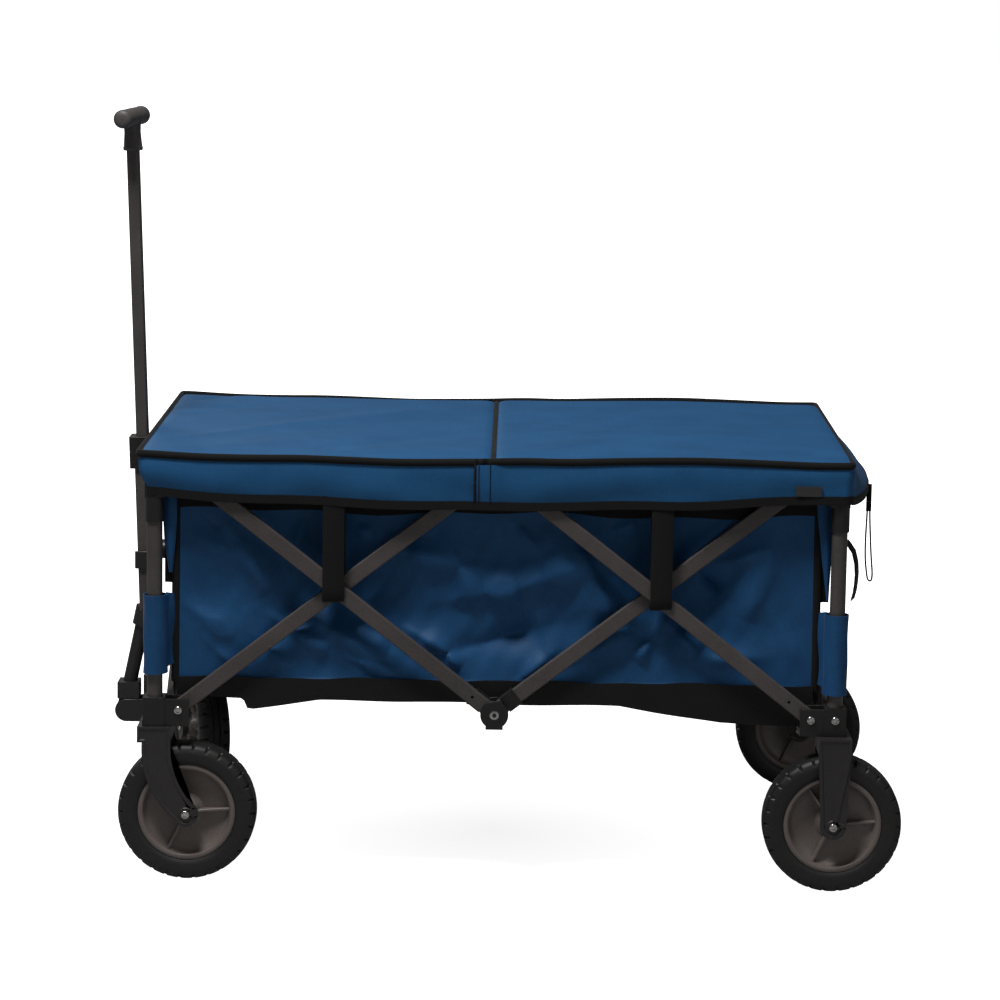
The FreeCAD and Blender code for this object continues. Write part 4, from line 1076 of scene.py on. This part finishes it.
def sleeve(end, side):
    """The sleeve round one post, and its flap."""
    corner = end + "_" + side
    centre = centre_of("post_" + corner)
    low, high = SLEEVES[end]
    inboard = Vector((-math.copysign(1, centre.x), -math.copysign(1, centre.y) * 0.35, 0)).normalized()
    rows, sides = 22, 36
    grid = np.zeros((rows, sides + 1, 3))
    for row in range(rows):
        share = row / (rows - 1)
        z = low + (high - low) * share
        for k in range(sides + 1):
            angle = 2 * math.pi * k / sides
            way = Vector((math.cos(angle), math.sin(angle), 0))
            pull = max(0.0, way.dot(inboard)) ** 6
            radius = 0.0131 + 0.0022 * pull + 0.0006 * math.sin(5 * angle + 7 * share) * math.sin(math.pi * share)
            radius += 0.0006 * (1 - min(1, min(share, 1 - share) * 9))
            grid[row, k] = centre.x + way.x * radius, centre.y + way.y * radius, z
    body = "corner_" + corner
    cloth = slab("sleeve_" + corner, grid, 0.0012, BLUE, "basket_fabric", body)
    start = np.array([centre.x + inboard.x * 0.0145, centre.y + inboard.y * 0.0145])
    finish = np.array([math.copysign(WALL_X + 0.0005, centre.x), math.copysign(WALL_Y - 0.003, centre.y)])
    rows, columns = 16, 8
    flap = np.zeros((rows, columns, 3))
    for row in range(rows):
        share = row / (rows - 1)
        z = low + 0.006 + (high - low - 0.004) * share
        for column in range(columns):
            t = column / (columns - 1)
            spot = start * (1 - t) + finish * t
            sag = 0.003 * math.sin(math.pi * t) * math.sin(2 * math.pi * share)
            flap[row, column] = spot[0], spot[1] + sag, z + 0.010 * t * (0.5 - share)
    web = slab("flap_" + corner, flap, 0.0012, BLUE, "basket_fabric", body)


for end in SLEEVES:
    for side in ("near", "far"):
        sleeve(end, side)

# %% [markdown]
# Above each sleeve a narrow tongue of blue cloth runs from the top band down beside the post.

# %% Corner tongues
# (height, inner edge, outer edge) down each tongue, with edges measured along X from the cart's middle
TONGUES = {
    "front": [(0.508, 0.409, 0.4235), (0.470, 0.4085, 0.4250), (0.440, 0.4105, 0.4230), (0.400, 0.4145, 0.4170)],
    "rear": [(0.508, 0.4060, 0.4250), (0.480, 0.4080, 0.4265), (0.430, 0.4140, 0.4265), (0.374, 0.4220, 0.4245)]}
for corner in CORNERS:
    end, side = corner.split("_")
    sx = 1 if end == "rear" else -1
    sy = -1 if side == "near" else 1
    heights, inners, outers = (np.array(column) for column in zip(*TONGUES[end]))
    rows, columns = 26, 9
    grid = np.zeros((rows, columns, 3))
    for row, z in enumerate(np.linspace(heights[0], heights[-1], rows)):
        inner, outer = np.interp(-z, -heights, inners), np.interp(-z, -heights, outers)
        for column in range(columns):
            t = column / (columns - 1)
            bulge = 0.0035 * math.sin(math.pi * t) + 0.001 * math.sin(60 * z)
            grid[row, column] = sx * (inner * (1 - t) + outer * t), sy * (WALL_Y + 0.0055 + bulge), z
    body = "corner_" + corner
    tongue = slab("tongue_" + corner, grid, 0.0014, BLUE, "basket_fabric", body)
    # A black sheet fills the gap between the post and the wall's corner: near the top it stands for the end wall's
    # black band, and below the band it is painted shade.
    corner_band_and_shade = np.zeros((12, 5, 3))
    for row, z in enumerate(np.linspace(0.512, 0.385 if sx < 0 else 0.372, 12)):
        for column in range(5):
            t = column / 4
            corner_band_and_shade[row, column] = sx * (WALL_X - 0.002 + 0.018 * t), sy * (WALL_Y + 0.001 - 0.004 * t), z
    band_and_shade_sheet = slab("gusset_" + corner, corner_band_and_shade, 0.0014, WEBBING, "basket_fabric", body)
    # The black binding down each wall corner is swept wider than the tape itself: its extra width is painted shade
    # beside the binding.
    edge = [(sx * (WALL_X + 0.001 + 0.0015 * (0.482 - z) / 0.22), sy * (WALL_Y + 0.001), z)
            for z in np.linspace(0.256, 0.486, 24)]
    sweep("binding_and_shade_" + corner, edge, oval(0.0105, 0.0055), WEBBING, "basket_fabric", body, up=(0, 1, 0))

# %% [markdown]
# A spare end of webbing hangs behind each rear post, where the basket's rear strap is buckled. The skirt
# carries a small plain woven tab near its rear corner.

# %% Strap tails and tab
for side, sign in BOTH:
    track = [(0.4460, 0.452), (0.4500, 0.447), (0.4560, 0.438), (0.4595, 0.424), (0.4605, 0.410), (0.4600, 0.398),
             (0.4585, 0.386), (0.4560, 0.376)]
    path = [(x, sign * 0.2300, z) for x, z in track]
    flat_tape("strap_tail_" + side, path, 0.022, 0.0016, (0.30, sign * -0.954, 0), "corner_rear_" + side)
column = np.argmin(np.abs(rear_skirt[0, :, 0] - 0.394) + np.where(rear_skirt[0, :, 1] < 0, 0, 9))
start = rear_skirt[:, column]
tab = np.zeros((6, 9, 3))
for row in range(6):
    for k in range(9):
        z = 0.5150 + 0.0130 * (1 - row / 5)
        x = start[0, 0] - 0.0165 + 0.033 * k / 8
        y = float(np.interp(-z, -start[:, 2], start[:, 1]))
        tab[row, k] = x, y - 0.0022, z
tab_cloth = slab("side_tab", tab, 0.0012, TAB, "lid_fabric", "lid_rear_half")

# %% [markdown]
# ## Handle grip
# The grip is a short bar with rounded ends on a neck that flares into it. Both are turned parts, joined where
# they meet, and the bar has shallow rings near its ends.

# %% Grip
GRIP_PROFILE = mirrored([
    (-60, 0.4), (-60, 5), (-59, 9), (-57, 11.4), (-54.5, 12.4), (-51, 12.5), (-50, 11.8), (-49, 12.5), (-46, 12.5),
    (-45, 11.9), (-44, 12.4), (-30, 12.0), (-12, 12.3)])
NECK_PROFILE = [(-44, 8.4), (-44, 12.2), (-43, 13.0), (-40, 13.2), (-38, 12.4), (-20, 11.0), (-8, 11.6), (-2, 12),
                (-2, 8.4)]
GRIP_HEIGHT = 0.965
grip_way = Matrix.Rotation(math.radians(-6), 3, "Z") @ Vector((0, 1, 0))
slide = next(item for item in frame["joints"] if item["name"] == "handle_slide")
tube_way = Vector(slide["axis"]).normalized()
grip_centre = Vector((middle("grip", 0), 0, GRIP_HEIGHT))
points, faces = joined(turned(scaled(GRIP_PROFILE), 40, grip_centre, grip_way),
                       turned(scaled(NECK_PROFILE), 40, grip_centre, tube_way))
grip = piece("grip_bar", points, faces, GRIP, "grip_plastic", "handle_upper")
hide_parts("grip")
print("grip at", [round(value, 3) for value in grip_centre])

# %% [markdown]
# ## Pull cord
# A thin black cord hangs as a narrow loop from the rear skirt's hem. It is a smooth curve through a few points
# with a round bevel. Its upper end is held in a small folded sleeve of tape.

# %% Cord
CORD_Y = middle("pull_cord", 1)
CORD_RADIUS = (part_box("pull_cord")[1].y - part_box("pull_cord")[0].y) / 2
BOW = 0.044    # how far the rear hem bows out in its middle
bow_radius = (LID_Y ** 2 + BOW ** 2) / (2 * BOW)
HEM_X = LID_REAR + BOW - bow_radius + math.sqrt(bow_radius ** 2 - CORD_Y ** 2) - 0.00125
ROUTE = [
    (-1.5, 500.0), (-1.6, 484.0), (-1.8, 462.0), (-2.9, 432.0), (-2.6, 404.0), (-0.2, 385.0),
    (1.6, 375.0), (6.8, 374.0), (7.6, 385.0), (5.4, 405.0), (3.4, 434.0), (1.7, 463.0),
    (1.6, 484.0), (1.5, 500.0)]
curve = bpy.data.curves.new("pull_cord_line", "CURVE")
curve.dimensions = "3D"
spline = curve.splines.new("NURBS")
spline.points.add(len(ROUTE) - 1)
for point, (x, z) in zip(spline.points, ROUTE):
    point.co = (HEM_X + x * MM, CORD_Y, z * MM, 1)
spline.order_u = 3
spline.use_endpoint_u = True
curve.bevel_depth = CORD_RADIUS
curve.bevel_resolution = 3
curve.resolution_u = 12
cord = bpy.data.objects.new("pull_cord_line", curve)
scene.collection.objects.link(cord)
cord_finish = Finish("cord_braid", 0.8)
cord_twist = cord_finish.math("ADD", cord_finish.wave("DIAGONAL", 0.002), cord_finish.noise(500.0))
cord_finish.tint(cord_twist, (0.004, 0.004, 0.004), (0.02, 0.02, 0.02), 0.3, 1.6)
cord_finish.bump(cord_twist, 0.5, 0.0003)
curve.materials.append(cord_finish.material)
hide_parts("pull_cord")
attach(cord, "lid_rear_half")
keeper_path = [(HEM_X, CORD_Y, z) for z in np.linspace(0.504, 0.468, 8)]
sweep("cord_keeper", keeper_path, oval(0.0072, 0.0042), WEBBING, "cord", "lid_rear_half", up=(0, 1, 0))

# %% [markdown]
# ## Light and floor
# One large soft source high in front gives the top of the cart about twice the light of its side, and draws
# soft shadows of the struts on the cloth. The surroundings are white to look at but light the cart only a
# little, so that blacks stay black. The floor is plain and pale, and fades into the white.

# %% Light and floor


def soft_light(name, place, aim, size, power):
    data = bpy.data.lights.new(name, "AREA")
    data.shape = "DISK"
    data.size = size
    data.energy = power
    light = bpy.data.objects.new(name, data)
    light.location = place
    light.rotation_euler = (Vector(aim) - Vector(place)).to_track_quat("-Z", "Y").to_euler()
    scene.collection.objects.link(light)


soft_light("key", (-0.75, -1.25, 3.4), (0, 0, 0.4), 0.8, 96)
soft_light("fill", (2.6, -3.2, 1.6), (0, 0, 0.4), 1.6, 7)
soft_light("rear", (-1.8, 2.4, 2.4), (0, 0, 0.4), 1.6, 24)
floor_mesh = bpy.data.meshes.new("floor")
floor_mesh.from_pydata([(-30, -30, 0), (30, -30, 0), (30, 30, 0), (-30, 30, 0)], [], [(0, 1, 2, 3)])
floor = bpy.data.objects.new("floor", floor_mesh)
floor_finish = Finish("pale_floor", 0.9)
floor_finish.tint(floor_finish.noise(3.0), (0.34, 0.34, 0.34), (0.37, 0.37, 0.37))
spread = floor_finish.add("TexGradient", gradient_type="SPHERICAL")
scale = floor_finish.add("Mapping")
scale.inputs["Scale"].default_value = (0.55, 0.55, 0.55)
floor_finish.links.new(floor_finish.place, scale.inputs["Vector"])
floor_finish.links.new(scale.outputs["Vector"], spread.inputs["Vector"])
seen = floor_finish.add("LightPath")
glow = floor_finish.math("MULTIPLY", floor_finish.math("SUBTRACT", 1.9, spread.outputs["Fac"]), 0.95)
glow = floor_finish.math("MULTIPLY", glow, seen.outputs["Is Camera Ray"])
floor_finish.links.new(glow, floor_finish.shader.inputs["Emission Strength"])
floor_finish.set(Emission_Color=(1, 1, 1, 1))
floor_mesh.materials.append(floor_finish.material)
scene.collection.objects.link(floor)
world = bpy.data.worlds.new("world")
world.use_nodes = True
sky = world.node_tree
background = sky.nodes["Background"]
background.inputs["Color"].default_value = (1, 1, 1, 1)
path_node = sky.nodes.new("ShaderNodeLightPath")
strength = sky.nodes.new("ShaderNodeMapRange")
strength.inputs["To Min"].default_value = 0.11
strength.inputs["To Max"].default_value = 1.0
sky.links.new(path_node.outputs["Is Camera Ray"], strength.inputs["Value"])
sky.links.new(strength.outputs["Result"], background.inputs["Strength"])
scene.world = world
scene.view_settings.view_transform = "Standard"
